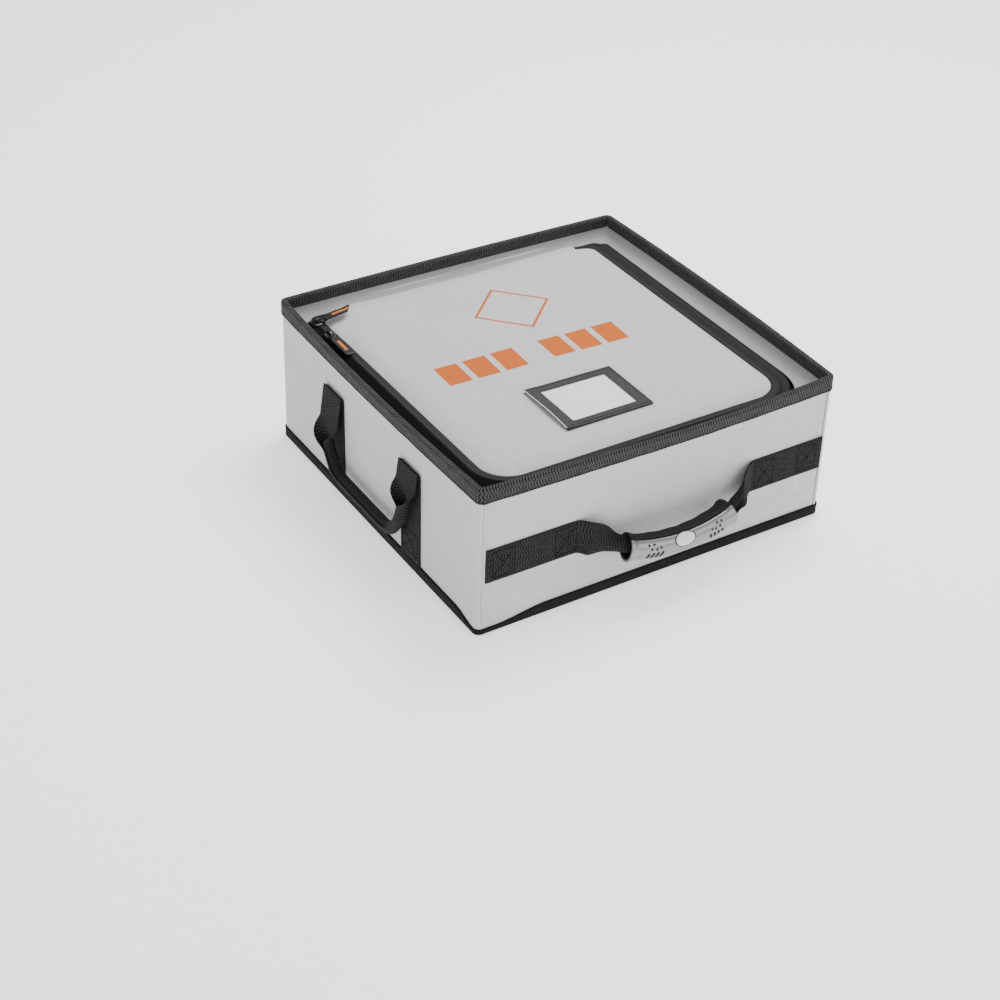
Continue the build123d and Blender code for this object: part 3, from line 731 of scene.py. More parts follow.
def side_relief(y, z, seed):
    """Soft dents and the crease down the middle of a side wall."""
    crease = np.exp(-(((y + 0.002 * np.sin(z * 60)) / 0.0025) ** 2))
    d = 0.7 * MM * crease * smooth(z / 0.03) * smooth((0.150 - z) / 0.03)
    d += ridge(y, z, (-0.180, 0.030), (-0.110, 0.060), 0.010, 0.6 * MM)
    d += ridge(y, z, (0.110, 0.030), (0.190, 0.045), 0.010, 0.5 * MM)
    d += 0.22 * MM * (1 + ripple(y + 0.5 * z, seed, 5, 4, 13))
    return d


def plain_wall(name, sign, replaced):
    """The front (sign -1) or back (sign 1) canvas between the corner seams."""
    x = np.linspace(-SEAM_X, SEAM_X, 137) * (1 if sign < 0 else -1)
    z = wall_z()
    X, Z = np.meshgrid(x, z, indexing="ij")
    d = front_relief(X * (1 if sign < 0 else BACK_STRETCH), Z) * calm(SEAM_X - np.abs(X), Z)
    P = warp(np.stack([X, sign * (WALL_Y + d), Z], -1))
    obj = cloth(name, P, CANVAS, MATERIAL["canvas"], v=z)
    return sheet_piece(obj, "root", "canvas_grey", (2 * SEAM_X, TOP), "stretched",
                       ["front_board" if sign < 0 else "back_board"],
                       replaced)


def corner_path(sign):
    """Line along a side wall (-1 left, 1 right) with its two corner arcs: points and outward normals."""
    r = CORNER_R
    a = np.linspace(0, math.pi / 2, 7)[:-1]
    x0, y0 = SEAM_X, WALL_Y - CORNER_R
    first = np.stack([x0 + r * np.sin(a), -y0 - r * np.cos(a)], 1)
    n1 = np.stack([np.sin(a), -np.cos(a)], 1)
    y = np.linspace(-y0, y0, int(2 * y0 / WALL_STEP) + 1)
    middle = np.stack([np.full_like(y, x0 + r), y], 1)
    n2 = np.stack([np.ones_like(y), np.zeros_like(y)], 1)
    last = np.stack([first[::-1, 0], -first[::-1, 1]], 1)
    n3 = np.stack([n1[::-1, 0], -n1[::-1, 1]], 1)
    pts, nor = np.concatenate([first, middle, last]), np.concatenate([n1, n2, n3])
    if sign < 0:
        pts, nor = pts[::-1] * [-1, 1], nor[::-1] * [-1, 1]
    return pts, nor


def side_wall(name, sign, replaced, seed):
    """The left (sign -1) or right (sign 1) canvas, with the arc of each corner."""
    pts, nor = corner_path(sign)
    z = wall_z()
    d = side_relief(np.repeat(pts[:, 1:], len(z), 1), np.repeat(z[None], len(pts), 0), seed)
    near = smooth((WALL_Y - 0.010 - np.abs(pts[:, 1:])) / 0.02)
    d = d * near * smooth((z[None] - 0.012) / 0.02) * smooth((0.152 - z[None]) / 0.02)
    flat = pts[:, None] + nor[:, None] * d[..., None]
    P = warp(np.concatenate([flat, np.repeat(z[None, :, None], len(pts), 0)], -1))
    obj = cloth(name, P, CANVAS, MATERIAL["canvas"], v=z)
    return sheet_piece(obj, "root", "canvas_grey", (2 * WALL_Y + 0.007, TOP), "stretched",
                       [replaced.replace("panel", "board")],
                       replaced)


plain_wall("canvas_front", -1, "front_panel")
plain_wall("canvas_back", 1, "back_panel")
side_wall("canvas_left", -1, "left_panel", 11)
side_wall("canvas_right", 1, "right_panel", 12)


def board(name, start, end, normal):
    """A stiffener sheet that bows with its wall. start and end are its outer line, in plan."""
    t = np.linspace(0, 1, 60)[:, None]
    line = np.array(start) + (np.array(end) - np.array(start)) * t
    z = np.linspace(1.6 * MM, TOP - 1.8 * MM, 40)
    P = np.concatenate([np.repeat(line[:, None], len(z), 1), np.repeat(z[None, :, None], len(line), 0)], -1)
    n = np.array([*normal, 0.0])
    obj = cloth(name + "_core", warp(P), 0, MATERIAL["board"], inner=warp(P - n * (BOARD - 0.3 * MM)))
    return finish_piece(obj, "root", "stiffener_board", name)


OUT_X, OUT_Y = WALL_X - CANVAS - 0.15 * MM, WALL_Y - CANVAS - 0.15 * MM
board("front_board", (-SEAM_X, -OUT_Y), (SEAM_X, -OUT_Y), (0, -1))
board("back_board", (SEAM_X, OUT_Y), (-SEAM_X, OUT_Y), (0, 1))
board("left_board", (-OUT_X, WALL_Y - CORNER_R), (-OUT_X, -WALL_Y + CORNER_R), (-1, 0))
board("right_board", (OUT_X, -WALL_Y + CORNER_R), (OUT_X, WALL_Y - CORNER_R), (1, 0))


# ---------------------------------------------------------------- bindings
def ring_path(half_x, half_y, r, step, arc_steps=10):
    """Outline of the walls with points about a step apart."""
    n_y = int(2 * (half_y - r) / step)
    n_x = int(2 * (half_x - r) / step)
    return outline(half_x, -half_y, half_y, r, r, [n_y, arc_steps, n_x, arc_steps, n_y, arc_steps, n_x,
                                                   arc_steps])


def band_grid(section, step, wobble):
    """Points of a closed band round the walls; section gives (outward, height) points, closed."""
    pts, nor, dist = ring_path(WALL_X, WALL_Y, CORNER_R, step)
    sec = np.asarray(section, float)
    off = np.repeat(sec[None, :, 0], len(pts), 0)
    z = np.repeat(sec[None, :, 1], len(pts), 0)
    off, z = wobble(dist[:-1, None], off, z)
    return pts, nor, dist, off, z, around(sec)


def round_corner(centre, r, start, end, steps=4):
    """Points of an arc, in degrees."""
    a = np.radians(np.linspace(start, end, steps + 1))
    return [(centre[0] + r * math.cos(t), centre[1] + r * math.sin(t)) for t in a]


def line_points(a, b, steps):
    """Points between a and b, without them."""
    t = np.linspace(0, 1, steps + 1)[1:-1]
    return [(a[0] + (b[0] - a[0]) * k, a[1] + (b[1] - a[1]) * k) for k in t]


def rim_section():
    """The folded tape: from its edge up the outside, over the wall and down the lining."""
    low_out, low_in, top = 153.0 * MM, 157.0 * MM, TOP
    out, back = 1.0 * MM, -5.0 * MM
    pts = [(0.15 * MM, low_out + 0.2 * MM), (0.55 * MM, low_out - 0.1 * MM), (out, low_out + 0.35 * MM)]
    pts += line_points(pts[-1], (out, top - 2.4 * MM), 7)
    pts += round_corner((out - 2.4 * MM, top - 2.4 * MM), 2.4 * MM, 0, 90)
    pts += round_corner((back + 2.4 * MM, top - 2.4 * MM), 2.4 * MM, 90, 180)
    pts += line_points((back, top - 2.4 * MM), (back, low_in + 0.3 * MM), 5)
    pts += [(back, low_in + 0.35 * MM), (back + 0.45 * MM, low_in - 0.1 * MM),
            (back + 0.85 * MM, low_in + 0.2 * MM)]
    pts += [(back + 0.85 * MM, top - 1.1 * MM), (0.12 * MM, top - 1.1 * MM)]
    return pts


def rim_wobble(s, off, z):
    """Ribs across the tape, and a soft uneven swell."""
    shown = ((off > 0.9 * MM) | (off < -4.9 * MM) | (z > TOP - 2.3 * MM)).astype(float)
    rib = np.abs(np.sin(math.pi * s / (3.4 * MM) + 0.9 * np.sin(z * 420) + 0.5 * np.sin(s * 61))) ** 0.7
    swell = 0.35 * MM * (1 + ripple(s, 21, 6, 8, 40))
    lift = shown * (0.34 * MM * rib + swell * 0.5)
    z_edge = z + np.where(z < 154.5 * MM, 0.5 * MM * ripple(s, 22, 5, 6, 30), 0)
    z_top = np.where(z > TOP - 2.3 * MM, z_edge - 0.3 * MM * (1 - rib), z_edge)
    return off + np.where(off > -2 * MM, lift, -lift), z_top


def rim_ring():
    """The rim tape, leaning with the walls."""
    pts, nor, dist, off, z, v = band_grid(rim_section(), 0.85 * MM, rim_wobble)
    flat = pts[:, None] + nor[:, None] * off[..., None]
    P = warp(np.concatenate([flat, z[..., None]], -1))
    return surface("rim_tape", P, MATERIAL["rim"], closed_u=True, closed_v=True, u=dist, v=v)


sheet_piece(rim_ring(), "root", "binding_tape", (0.038, 1.635), "folded", ["canvas_front", "canvas_left"],
            "rim_binding")


def band_stitches(name, proud, height, leaning=False):
    """A row of stitches round a band; height(points) is how high it runs."""
    pts, nor, _ = ring_path(WALL_X, WALL_Y, CORNER_R, 1.5 * MM, 8)
    line = np.column_stack([pts + nor * proud, height(pts)])
    if leaning:
        line = warp(line)
    facing = np.column_stack([nor, np.zeros(len(nor))])
    obj = stitches(name, line, facing, MATERIAL["thread_black"], closed=True)
    return finish_piece(obj, "root", "binding_tape")


band_stitches("rim_stitches", 1.5 * MM, lambda pts: np.full(len(pts), 155.0 * MM), leaning=True)


def foot_section():
    """The lower tape: up the wall, and under the base."""
    return [(1.0 * MM, 0.9 * MM), *line_points((1.0 * MM, 0.9 * MM), (1.0 * MM, 12.7 * MM), 5),
            (1.0 * MM, 12.7 * MM),
           (0.6 * MM, 13.05 * MM), (0.15 * MM, 12.8 * MM), (0.12 * MM, 1.0 * MM), (-13.0 * MM, 1.0 * MM),
           (-13.2 * MM, 0.5 * MM), (-13.0 * MM, 0.02 * MM), (-6.0 * MM, 0.0), (0.2 * MM, 0.0),
           (0.8 * MM, 0.25 * MM)]


def foot_wobble(s, off, z):
    """Ribs across the lower tape, and a slight swell."""
    rib = np.abs(np.sin(math.pi * s / (3.0 * MM))) ** 0.7
    shown = (off > 0.9 * MM) & (z > 0.8 * MM)
    return off + np.where(shown, 0.25 * MM * rib + 0.15 * MM * (1 + ripple(s, 23, 5, 8, 30)), 0), z


def foot_tuck(pts):
    """The tape shows less height at the front left corner, where the canvas pulls it under."""
    along_front = smooth((-pts[:, 0] - 0.130) / 0.06) * (pts[:, 1] < -WALL_Y + CORNER_R * 0.5)
    along_left = smooth((-pts[:, 1] - 0.165) / 0.035) * (pts[:, 0] < -WALL_X + CORNER_R)
    return 1 - 0.5 * np.maximum(along_front, along_left)


def foot_ring():
    """The lower tape, mitred under the corners."""
    pts, nor, dist, off, z, v = band_grid(foot_section(), 1.0 * MM, foot_wobble)
    z = np.where(z > 1.5 * MM, z * foot_tuck(pts)[:, None], z)
    in_arc = (np.abs(pts[:, 0]) > WALL_X - CORNER_R + 1e-9) & (np.abs(pts[:, 1]) > WALL_Y - CORNER_R + 1e-9)
    centre = np.column_stack([np.sign(pts[:, 0]) * (WALL_X - CORNER_R),
                              np.sign(pts[:, 1]) * (WALL_Y - CORNER_R)])
    flat = pts[:, None] + nor[:, None] * off[..., None]
    deep = off < -CORNER_R + 0.3 * MM
    for i in np.nonzero(in_arc)[0]:
        inner = centre[i] - np.sign(centre[i]) * (-off[i, :, None] - CORNER_R)
        flat[i] = np.where(deep[i][:, None], inner, flat[i])
    P = np.concatenate([flat, z[..., None]], -1)
    return surface("foot_tape", P, MATERIAL["bottom"], closed_u=True, closed_v=True, u=dist, v=v)


sheet_piece(foot_ring(), "root", "binding_tape", (0.028, 1.63), "folded", ["canvas_front", "canvas_left"],
            "bottom_binding")


band_stitches("foot_stitches", 1.45 * MM, lambda pts: 11.2 * MM * foot_tuck(pts))


def corner_seam(name, sx, sy, *replaced):
    """The rolled seam edge down a corner, standing a little proud of the wall."""
    z = np.linspace(13.4 * MM, 152.6 * MM, 94)
    wave = 0.35 * MM * ripple(z, 31 + int(sx) + 2 * int(sy), 5, 10, 50)
    a = np.linspace(0, 2 * math.pi, 13)[:-1]
    half, proud = 1.25 * MM, 1.15 * MM
    P = np.zeros((len(z), len(a), 3))
    P[..., 0] = sx * (SEAM_X + wave[:, None] + half * np.cos(a))
    P[..., 1] = sy * (WALL_Y + 0.12 * MM + proud * (0.5 + 0.5 * np.sin(a))
                      * (1 + 0.15 * np.sin(z[:, None] * 900)))
    P[..., 2] = z[:, None]
    obj = surface(name, warp(P), MATERIAL["piping"], closed_v=True, caps=True)
    return finish_piece(obj, "root", "seam_piping", *replaced)


corner_seam("seam_front_left", -1, -1, "corner_seams")
corner_seam("seam_front_right", 1, -1)
corner_seam("seam_back_left", -1, 1)
corner_seam("seam_back_right", 1, 1)

for side, x in (("left", -SEAM_X + 8.0 * MM), ("right", SEAM_X - 8.0 * MM)):
    for face, sign in (("front", -1), ("back", 1)):
        z = np.linspace(15 * MM, 151 * MM, 60)
        path = warp(np.column_stack([np.full_like(z, x), np.full_like(z, sign * WALL_Y), z]))
        relief = front_relief(np.full_like(z, x if sign < 0 else x * BACK_STRETCH), z)
        path[:, 1] += sign * relief * calm(SEAM_X - abs(x), z)
        finish_piece(stitches(f"topstitch_{face}_{side}", path, (0, sign, 0), MATERIAL["thread_grey"],
                              radius=0.3 * MM,
                              lift=0.1 * MM), "root", "seam_piping")


# ---------------------------------------------------------------- inside: lining, base, gusset and coves
BASE_TOP = node_box("base_lining")[1][2]


def lining_ring():
    """The lining of the four walls, a little loose."""
    pts, nor, dist = ring_path(IN_X + CANVAS, IN_Y + CANVAS, 2.8 * MM, 4.0 * MM, 4)
    z = np.linspace(2.0 * MM, TOP - 1.5 * MM, 42)
    soft = 0.35 * MM * (1 + ripple(dist[:-1], 41, 6, 4, 16))[:, None]
    soft = soft * smooth((z - 0.01) / 0.03)[None] * smooth((0.15 - z) / 0.01)[None]
    outer = np.concatenate([np.repeat(pts[:, None], len(z), 1), np.repeat(z[None, :, None], len(pts), 0)],
                           -1)
    inner = outer.copy()
    inner[..., :2] -= nor[:, None] * (CANVAS * 0.9 + soft[..., None])
    obj = cloth("lining_walls", warp(outer), 0, MATERIAL["lining"], closed_u=True, v=z, inner=warp(inner))
    return sheet_piece(obj, "root", "lining_grey", (1.62, 0.167), "stretched",
                       ["front_board", "left_board"], "wall_lining")


lining_ring()


def flat_panel(name, half_x, half_y, z_low, z_high, material, quilt=0.0, seed=51):
    """A level panel, with a soft uneven top if quilted."""
    x = np.linspace(-half_x, half_x, 83)
    y = np.linspace(-half_y, half_y, 81)
    X, Y = np.meshgrid(x, y, indexing="ij")
    edge = smooth((half_x - np.abs(X)) / 0.02) * smooth((half_y - np.abs(Y)) / 0.02)
    uneven = ripple(X + 0.6 * Y, seed, 5, 3, 10) * ripple(Y - 0.3 * X, seed + 1, 4, 3, 9)
    swell = quilt * edge * (0.5 + 0.5 * uneven)
    top = np.stack([X, Y, z_high + swell], -1)
    low = np.stack([X, Y, np.full_like(X, z_low)], -1)
    return cloth(name, top, 0, material, inner=low, u=x, v=y)


BASE_X, BASE_Y = node_box("base_lining")[1][:2]
panel_hi = node_box("base_panel")[1]
obj = flat_panel("base_canvas", panel_hi[0] - 0.2 * MM, panel_hi[1] - 0.2 * MM, 0.05 * MM,
                 panel_hi[2] - 0.15 * MM,
                 MATERIAL["canvas"])
sheet_piece(obj, "root", "canvas_grey", (2 * panel_hi[0], 2 * panel_hi[1]), "laid", ["base_board"],
            "base_panel")
board_lo, board_hi = node_box("base_board")
obj = flat_panel("base_stiffener", board_hi[0], board_hi[1], board_lo[2] + 0.15 * MM,
                 board_hi[2] - 0.1 * MM, MATERIAL["board"])
finish_piece(obj, "root", "stiffener_board", "base_board")
obj = flat_panel("base_cloth", BASE_X, BASE_Y, board_hi[2] + 0.02 * MM, BASE_TOP, MATERIAL["lining"],
                 quilt=1.6 * MM)
sheet_piece(obj, "root", "lining_grey", (2 * BASE_X, 2 * BASE_Y), "laid", ["base_stiffener"], "base_lining")

RING_COUNTS = [84, 22, 74, 22, 84, 12, 74, 12]


def wall_hit(centre, direction, half_x, half_y):
    """Where a ray from inside the walls meets them."""
    t = []
    for k, half in ((0, half_x), (1, half_y)):
        if abs(direction[k]) > 1e-9:
            t.append((math.copysign(half, direction[k]) - centre[k]) / direction[k])
    return centre + direction * min(v for v in t if v > 0)


def mouth_to_wall(inset):
    """Matching points on a line round the zip and on the inside of the walls."""
    pts, nor, dist = zip_outline(inset, RING_COUNTS)
    wall = np.zeros_like(pts)
    hx, hy = IN_X - 0.3 * MM, IN_Y - 0.3 * MM
    for i in range(len(pts)):
        wall[i] = wall_hit(pts[i] - nor[i] * 0.001, nor[i], hx, hy)
    return pts, nor, dist, wall


GUSSET_DROP = LEDGE_Z - GUSSET_LOW - CANVAS


def band_dip(x, y, away):
    """How far the bag's half of the zip band sinks at the left and front; away is measured from the zip."""
    left = smooth((-x - 0.10) / 0.05) * smooth((0.165 - y) / 0.03)
    front = smooth((-y - 0.12) / 0.04) * smooth((0.165 - x) / 0.06)
    return 4.5 * MM * np.maximum(left, front) * smooth((away - 2.5 * MM) / (8.5 * MM))


pts, nor, dist, wall = mouth_to_wall(-TAPE_W)
inner_pts, _, _ = zip_outline(-0.15 * MM, RING_COUNTS)


def gusset_piece():
    """The black cloth under the zip and down to the walls."""
    rows = 16
    P = np.zeros((len(pts), rows + 5, 3))
    for k in range(5):
        P[:, k, :2] = inner_pts + (pts - inner_pts) * k / 5
        P[:, k, 2] = LEDGE_Z - 0.06 * MM - band_dip(P[:, k, 0], P[:, k, 1], TAPE_W * k / 5)
    gap = np.linalg.norm(wall - pts, axis=1)
    for k in range(rows):
        t = k / (rows - 1)
        s = gap * t
        drop = np.minimum(s * 0.839, GUSSET_DROP)
        P[:, 5 + k, :2] = pts + (wall - pts) * t
        fold = 0.9 * MM * np.sin(dist[:-1] * 60 + 2 * np.sin(dist[:-1] * 17)) * math.sin(math.pi * t)
        P[:, 5 + k, 2] = LEDGE_Z - 0.06 * MM - drop + fold * (gap > 0.02) * 1.2 + fold * (gap <= 0.02) * 0.4
        P[:, 5 + k, 2] -= band_dip(pts[:, 0], pts[:, 1], TAPE_W) * (1 - t)
    return cloth("gusset_cloth", P[:, ::-1], CANVAS * 0.9, MATERIAL["gusset"], closed_u=True)


sheet_piece(gusset_piece(), "root", "lining_grey", (0.030, 1.50), "stretched", ["lining_walls"],
            "mouth_ledge", "zip_gusset")


def cove_piece():
    """The light lining that comes down the wall and in to the zip, along the right side and the back."""
    n = len(pts)
    start = RING_COUNTS[0] + RING_COUNTS[1] + RING_COUNTS[2] + 2
    ids = np.arange(start, n)
    rows = 14
    P = np.zeros((len(ids), rows, 3))
    head = 158.5 * MM
    along = dist[:-1][ids] + np.where(ids < 50, dist[-1], 0)
    corner = smooth((along - along[0]) / 0.075)
    for k in range(rows):
        t = k / (rows - 1)
        low = LEDGE_Z + 1.6 * MM
        over = smooth((pts[ids, 1] - 0.1795) / 0.008)
        inset = (1 - corner) * 9.0 * MM + 0.3 * MM - 7.0 * MM * over
        end = pts[ids] + nor[ids] * inset[:, None]
        a = t * math.pi / 2
        reach = 1 - math.cos(a)
        P[:, k, :2] = wall[ids] + (end - wall[ids]) * reach
        fall = head - (head - low) * math.sin(a) ** 0.8
        gap = np.linalg.norm(wall[ids] - end, axis=1)
        fold = 1.1 * MM * np.sin(along * 75 + 1.5 * np.sin(along * 20)) * math.sin(math.pi * t)
        fold *= smooth((gap - 0.010) / 0.02)
        P[:, k, 2] = fall + fold
    P[:, :2, :2] -= 0.2 * MM * nor[ids][:, None]
    return cloth("lining_cove", warp(P), 0.7 * MM, MATERIAL["lining"])


sheet_piece(cove_piece(), "root", "lining_grey", (0.020, 1.03), "stretched", ["lining_walls"])


# ---------------------------------------------------------------- zip
ZIP_END_X = abs(node_box("zip_end_stops")[1][0])


def zip_line():
    """The zip's line from its back left end round the front to its back right end."""
    counts = [190, 26, 150, 26, 190, 10, 170, 10]
    p, n, _ = zip_outline(0.0, counts)
    start = sum(counts[:7])
    p, n = np.roll(p, -start, 0), np.roll(n, -start, 0)
    back = slice(sum(counts[:6]) + counts[7], sum(counts[:7]) + counts[7])
    keep = np.ones(len(p), bool)
    keep[back] = np.abs(p[back, 0]) > ZIP_END_X
    order = np.concatenate([np.nonzero(keep & (np.arange(len(p)) >= back.start) & (p[:, 0] < 0))[0],
                            np.nonzero(keep & (np.arange(len(p)) < back.start))[0],
                            np.nonzero(keep & (np.arange(len(p)) >= back.start) & (p[:, 0] > 0))[0]])
    return p[order], n[order]


ZIP_REF, ZIP_NOR = zip_line()


def zip_strip(name, profile, material, wave):
    """A tape along the zip. profile gives (inset, height) points, closed."""
    P = np.zeros((len(ZIP_REF), len(profile), 3))
    run = running(ZIP_REF)
    for k, (inset, z) in enumerate(profile):
        P[:, k, :2] = zip_line_like(inset)
        P[:, k, 2] = z
    P = wave(P, run)
    return surface(name, P, material, closed_v=True, u=run, v=around(np.array(profile)), caps=True)


def zip_line_like(inset):
    """The zip's line moved in by inset, point for point with ZIP_REF."""
    r_front = ZIP_FRONT_R - inset
    r_back = max(ZIP_BACK_R - inset, 2.0 * MM)
    hx, front, back = ZIP_X - inset, ZIP_FRONT + inset, ZIP_BACK - inset
    out = np.zeros_like(ZIP_REF)
    for i, (p, n) in enumerate(zip(ZIP_REF, ZIP_NOR)):
        side = np.sign(p[0])
        if p[1] < ZIP_FRONT + ZIP_FRONT_R - 1e-9 and abs(p[0]) > ZIP_X - ZIP_FRONT_R + 1e-9:
            c = np.array([side * (hx - r_front), front + r_front])
            out[i] = c + n * r_front
        elif p[1] > ZIP_BACK - ZIP_BACK_R + 1e-9 and abs(p[0]) > ZIP_X - ZIP_BACK_R + 1e-9:
            c = np.array([side * (hx - r_back), back - r_back])
            out[i] = c + n * r_back
        elif abs(n[0]) > 0.5:
            t = (p[1] - (ZIP_FRONT + ZIP_FRONT_R)) / (ZIP_BACK - ZIP_BACK_R - ZIP_FRONT - ZIP_FRONT_R)
            out[i] = [side * hx, front + r_front + t * (back - r_back - front - r_front)]
        elif n[1] < 0:
            t = p[0] / (ZIP_X - ZIP_FRONT_R)
            out[i] = [t * (hx - r_front), front]
        else:
            t = (abs(p[0]) - ZIP_END_X) / (ZIP_X - ZIP_BACK_R - ZIP_END_X)
            out[i] = [side * (ZIP_END_X + t * (hx - r_back - ZIP_END_X)), back]
    return out


TAPE_Z = LEDGE_Z + 0.05 * MM


def tape_profile(side):
    """Flat tape that rises over the covered coil at the middle of the zip. side is 1 for the lid's half."""
    top = [(0.17, 1.5), (0.45, 2.0), (1.1, 2.15), (1.8, 2.0), (2.5, 1.35), (3.0, 0.85), (4.2, 0.72),
           (5.8, 0.70),
           (7.4, 0.70), (8.8, 0.68), (9.25, 0.55)]
    low = [(9.25, 0.0), (7.0, 0.0), (4.5, 0.0), (2.5, 0.0), (0.17, 0.0)]
    return [(side * d * MM, TAPE_Z + h * MM) for d, h in top + low]


def inner_wave(P, run):
    """Slight waves in the lid's half of the tape."""
    d = 0.16 * MM * ripple(run, 61, 6, 6, 30)
    P[..., 2] += d[:, None] * (P[..., 2] > TAPE_Z + 0.1 * MM)
    return P


def outer_wave(P, run):
    """The bag's half of the tape dips towards the wall at the left and front."""
    x, y = P[..., 0], P[..., 1]
    away = np.linalg.norm(P[..., :2] - ZIP_REF[:, None], axis=-1)
    P[..., 2] += 0.18 * MM * ripple(run, 62, 6, 6, 30)[:, None] * (P[..., 2] > TAPE_Z + 0.1 * MM)
    P[..., 2] -= band_dip(x, y, away)
    return P


def tape_painted_shade(n, u, v, base, h):
    """Painted shade: the tape is coloured almost black at the bag's left and front, where it lies in shadow, and
    keeps its own lighter grey down its right side.
    """
    split = n.add("ShaderNodeSeparateXYZ")
    n.put(split.inputs[0], n.object_coords())
    # painted shade mask: 0 paints the tape black left of x = 0.125 m, 1 keeps its own grey from about x = 0.18 m
    right = n.math("MULTIPLY", n.math("SUBTRACT", split.outputs[0], 0.125), 18.0, clamp=True)
    return n.mix(right, (0.0045, 0.0045, 0.0046), base)


# the bag's half of the zip tape, with painted shade over its left and front
MATERIAL["tape_outer"] = fabric("zip_tape_outer_knit", (0.026, 0.026, 0.0265), "knit", 0.8 * MM, depth=0.4,
                                relief=0.08 * MM,
                                blotch=0.08, speckle=0.2, sheen=0.0, painted=tape_painted_shade)

inner_zip = zip_strip("zip_tape_inner", tape_profile(1), MATERIAL["tape"], inner_wave)
outer_zip = zip_strip("zip_tape_outer", tape_profile(-1)[::-1], MATERIAL["tape_outer"], outer_wave)
ZIP_LENGTH = run_length(ZIP_REF)
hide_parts("zip_tape_lid", "zip_coil_lid")
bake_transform(inner_zip)
sheet_piece(outer_zip, "root", "zip_tape", (0.0105, ZIP_LENGTH), "stretched", ["gusset_cloth"],
            "zip_tape_body",
            "zip_coil_body")


# ---------------------------------------------------------------- the lid's pad
LID_X = ZIP_X - TAPE_W
LID_FRONT = ZIP_FRONT + TAPE_W
LID_R = ZIP_FRONT_R - TAPE_W
VALLEY_Y = IN_Y - 5.0 * MM
NECK_X = ZIP_END_X - 3.0 * MM
PAD_LOW = node_box("lid_foam")[0][2]


def lid_rows():
    """Distances down the lid from its front border to the back wall."""
    a = np.linspace(90, 0, 12)[:-1]
    front = LID_FRONT + LID_R - LID_R * np.sin(np.radians(a))
    middle = np.arange(LID_FRONT + LID_R, 0.168, 5.0 * MM)
    back = np.array([0.1695, 0.1725, 0.1750, 0.1768, 0.1790, 0.1815, 0.1845, 0.1875, 0.1900, 0.1925,
                     0.1945, 0.1965,
                     0.1985, 0.2000])
    return np.concatenate([front, middle, back])


def lid_half(y):
    """Half the lid's width at each row."""
    y = np.asarray(y, float)
    arc = np.clip(LID_FRONT + LID_R - y, 0, LID_R)
    half = LID_X - LID_R + np.sqrt(np.maximum(LID_R ** 2 - arc ** 2, 0))
    neck = smooth((y - 0.1768) / 0.0080)
    return half + (NECK_X - LID_X) * neck - 0.25 * MM


def pad_height(x, y):
    """Height of the unfilled lid: a rounded border, then level, then down to the back valley and up."""
    half = lid_half(y)
    inset = np.minimum(half - np.abs(x), y - LID_FRONT)
    past_x = np.maximum(np.abs(x) - (LID_X - LID_R), 0)
    past_y = np.maximum(LID_FRONT + LID_R - y, 0)
    edge = np.where(y < LID_FRONT + LID_R, LID_R - np.hypot(past_x, past_y), inset)
    edge = np.clip(np.minimum(edge, inset), 0, None)
    rise = 1 - (1 - np.clip(edge / 0.030, 0, 1)) ** 2.8
    crown_x = 1 - np.clip(np.abs(x) / 0.185, 0, 1) ** 2
    crown_y = 1 - np.clip(np.abs(y + 0.02) / 0.20, 0, 1) ** 2.5
    crown = crown_x * crown_y
    z = LEDGE_Z + 0.5 * MM + 5.6 * MM * rise + 1.6 * MM * crown * rise
    back = smooth((y - 0.1740) / 0.0220)
    valley = LEDGE_Z + (1.2 + 1.2 * np.clip(np.abs(x) / 0.15, 0, 1) ** 2) * MM
    z = z + (np.minimum(valley, z) - z) * back
    climb = np.clip((y - VALLEY_Y) / (IN_Y - VALLEY_Y), 0, 1)
    reach = np.where(y > 0.168, 0.012, 0.026)
    under_tab = np.exp(-((x + 0.162) / 0.024) ** 2 - ((y - 0.168) / reach) ** 2)
    z = z - 3.0 * MM * under_tab
    return z + 9.5 * MM * climb ** 1.8 * (1 - np.clip(np.abs(x) / 0.165, 0, 1) ** 6)


def lid_pad():
    """The closed cloth round the foam, and its top as a grid."""
    rows = lid_rows()
    cols = np.linspace(-1, 1, 73)
    cols = np.sign(cols) * (1 - (1 - np.abs(cols)) ** 1.18)
    half = lid_half(rows)
    X = half[None, :] * cols[:, None]
    Y = np.repeat(rows[None, :], len(cols), 0)
    Z = pad_height(X, Y)
    top = np.stack([X, Y, Z], -1)
    lip = smooth((0.1565 - 0.012 - Y) / 0.006) * smooth((half[None] - np.abs(X)) / 0.013 - 0.9) * smooth(
        (Y - LID_FRONT) / 0.013 - 0.9)
    low_z = LEDGE_Z + 0.12 * MM + (PAD_LOW + 0.3 * MM - LEDGE_Z) * lip
    low_z = np.maximum(low_z, Z - 12.0 * MM)
    low = np.stack([X, Y, np.minimum(low_z, Z - 0.5 * MM)], -1)
    obj = cloth("lid_canvas", top, 0, MATERIAL["lid"], inner=low)
    return obj, top


pad, PAD_TOP = lid_pad()


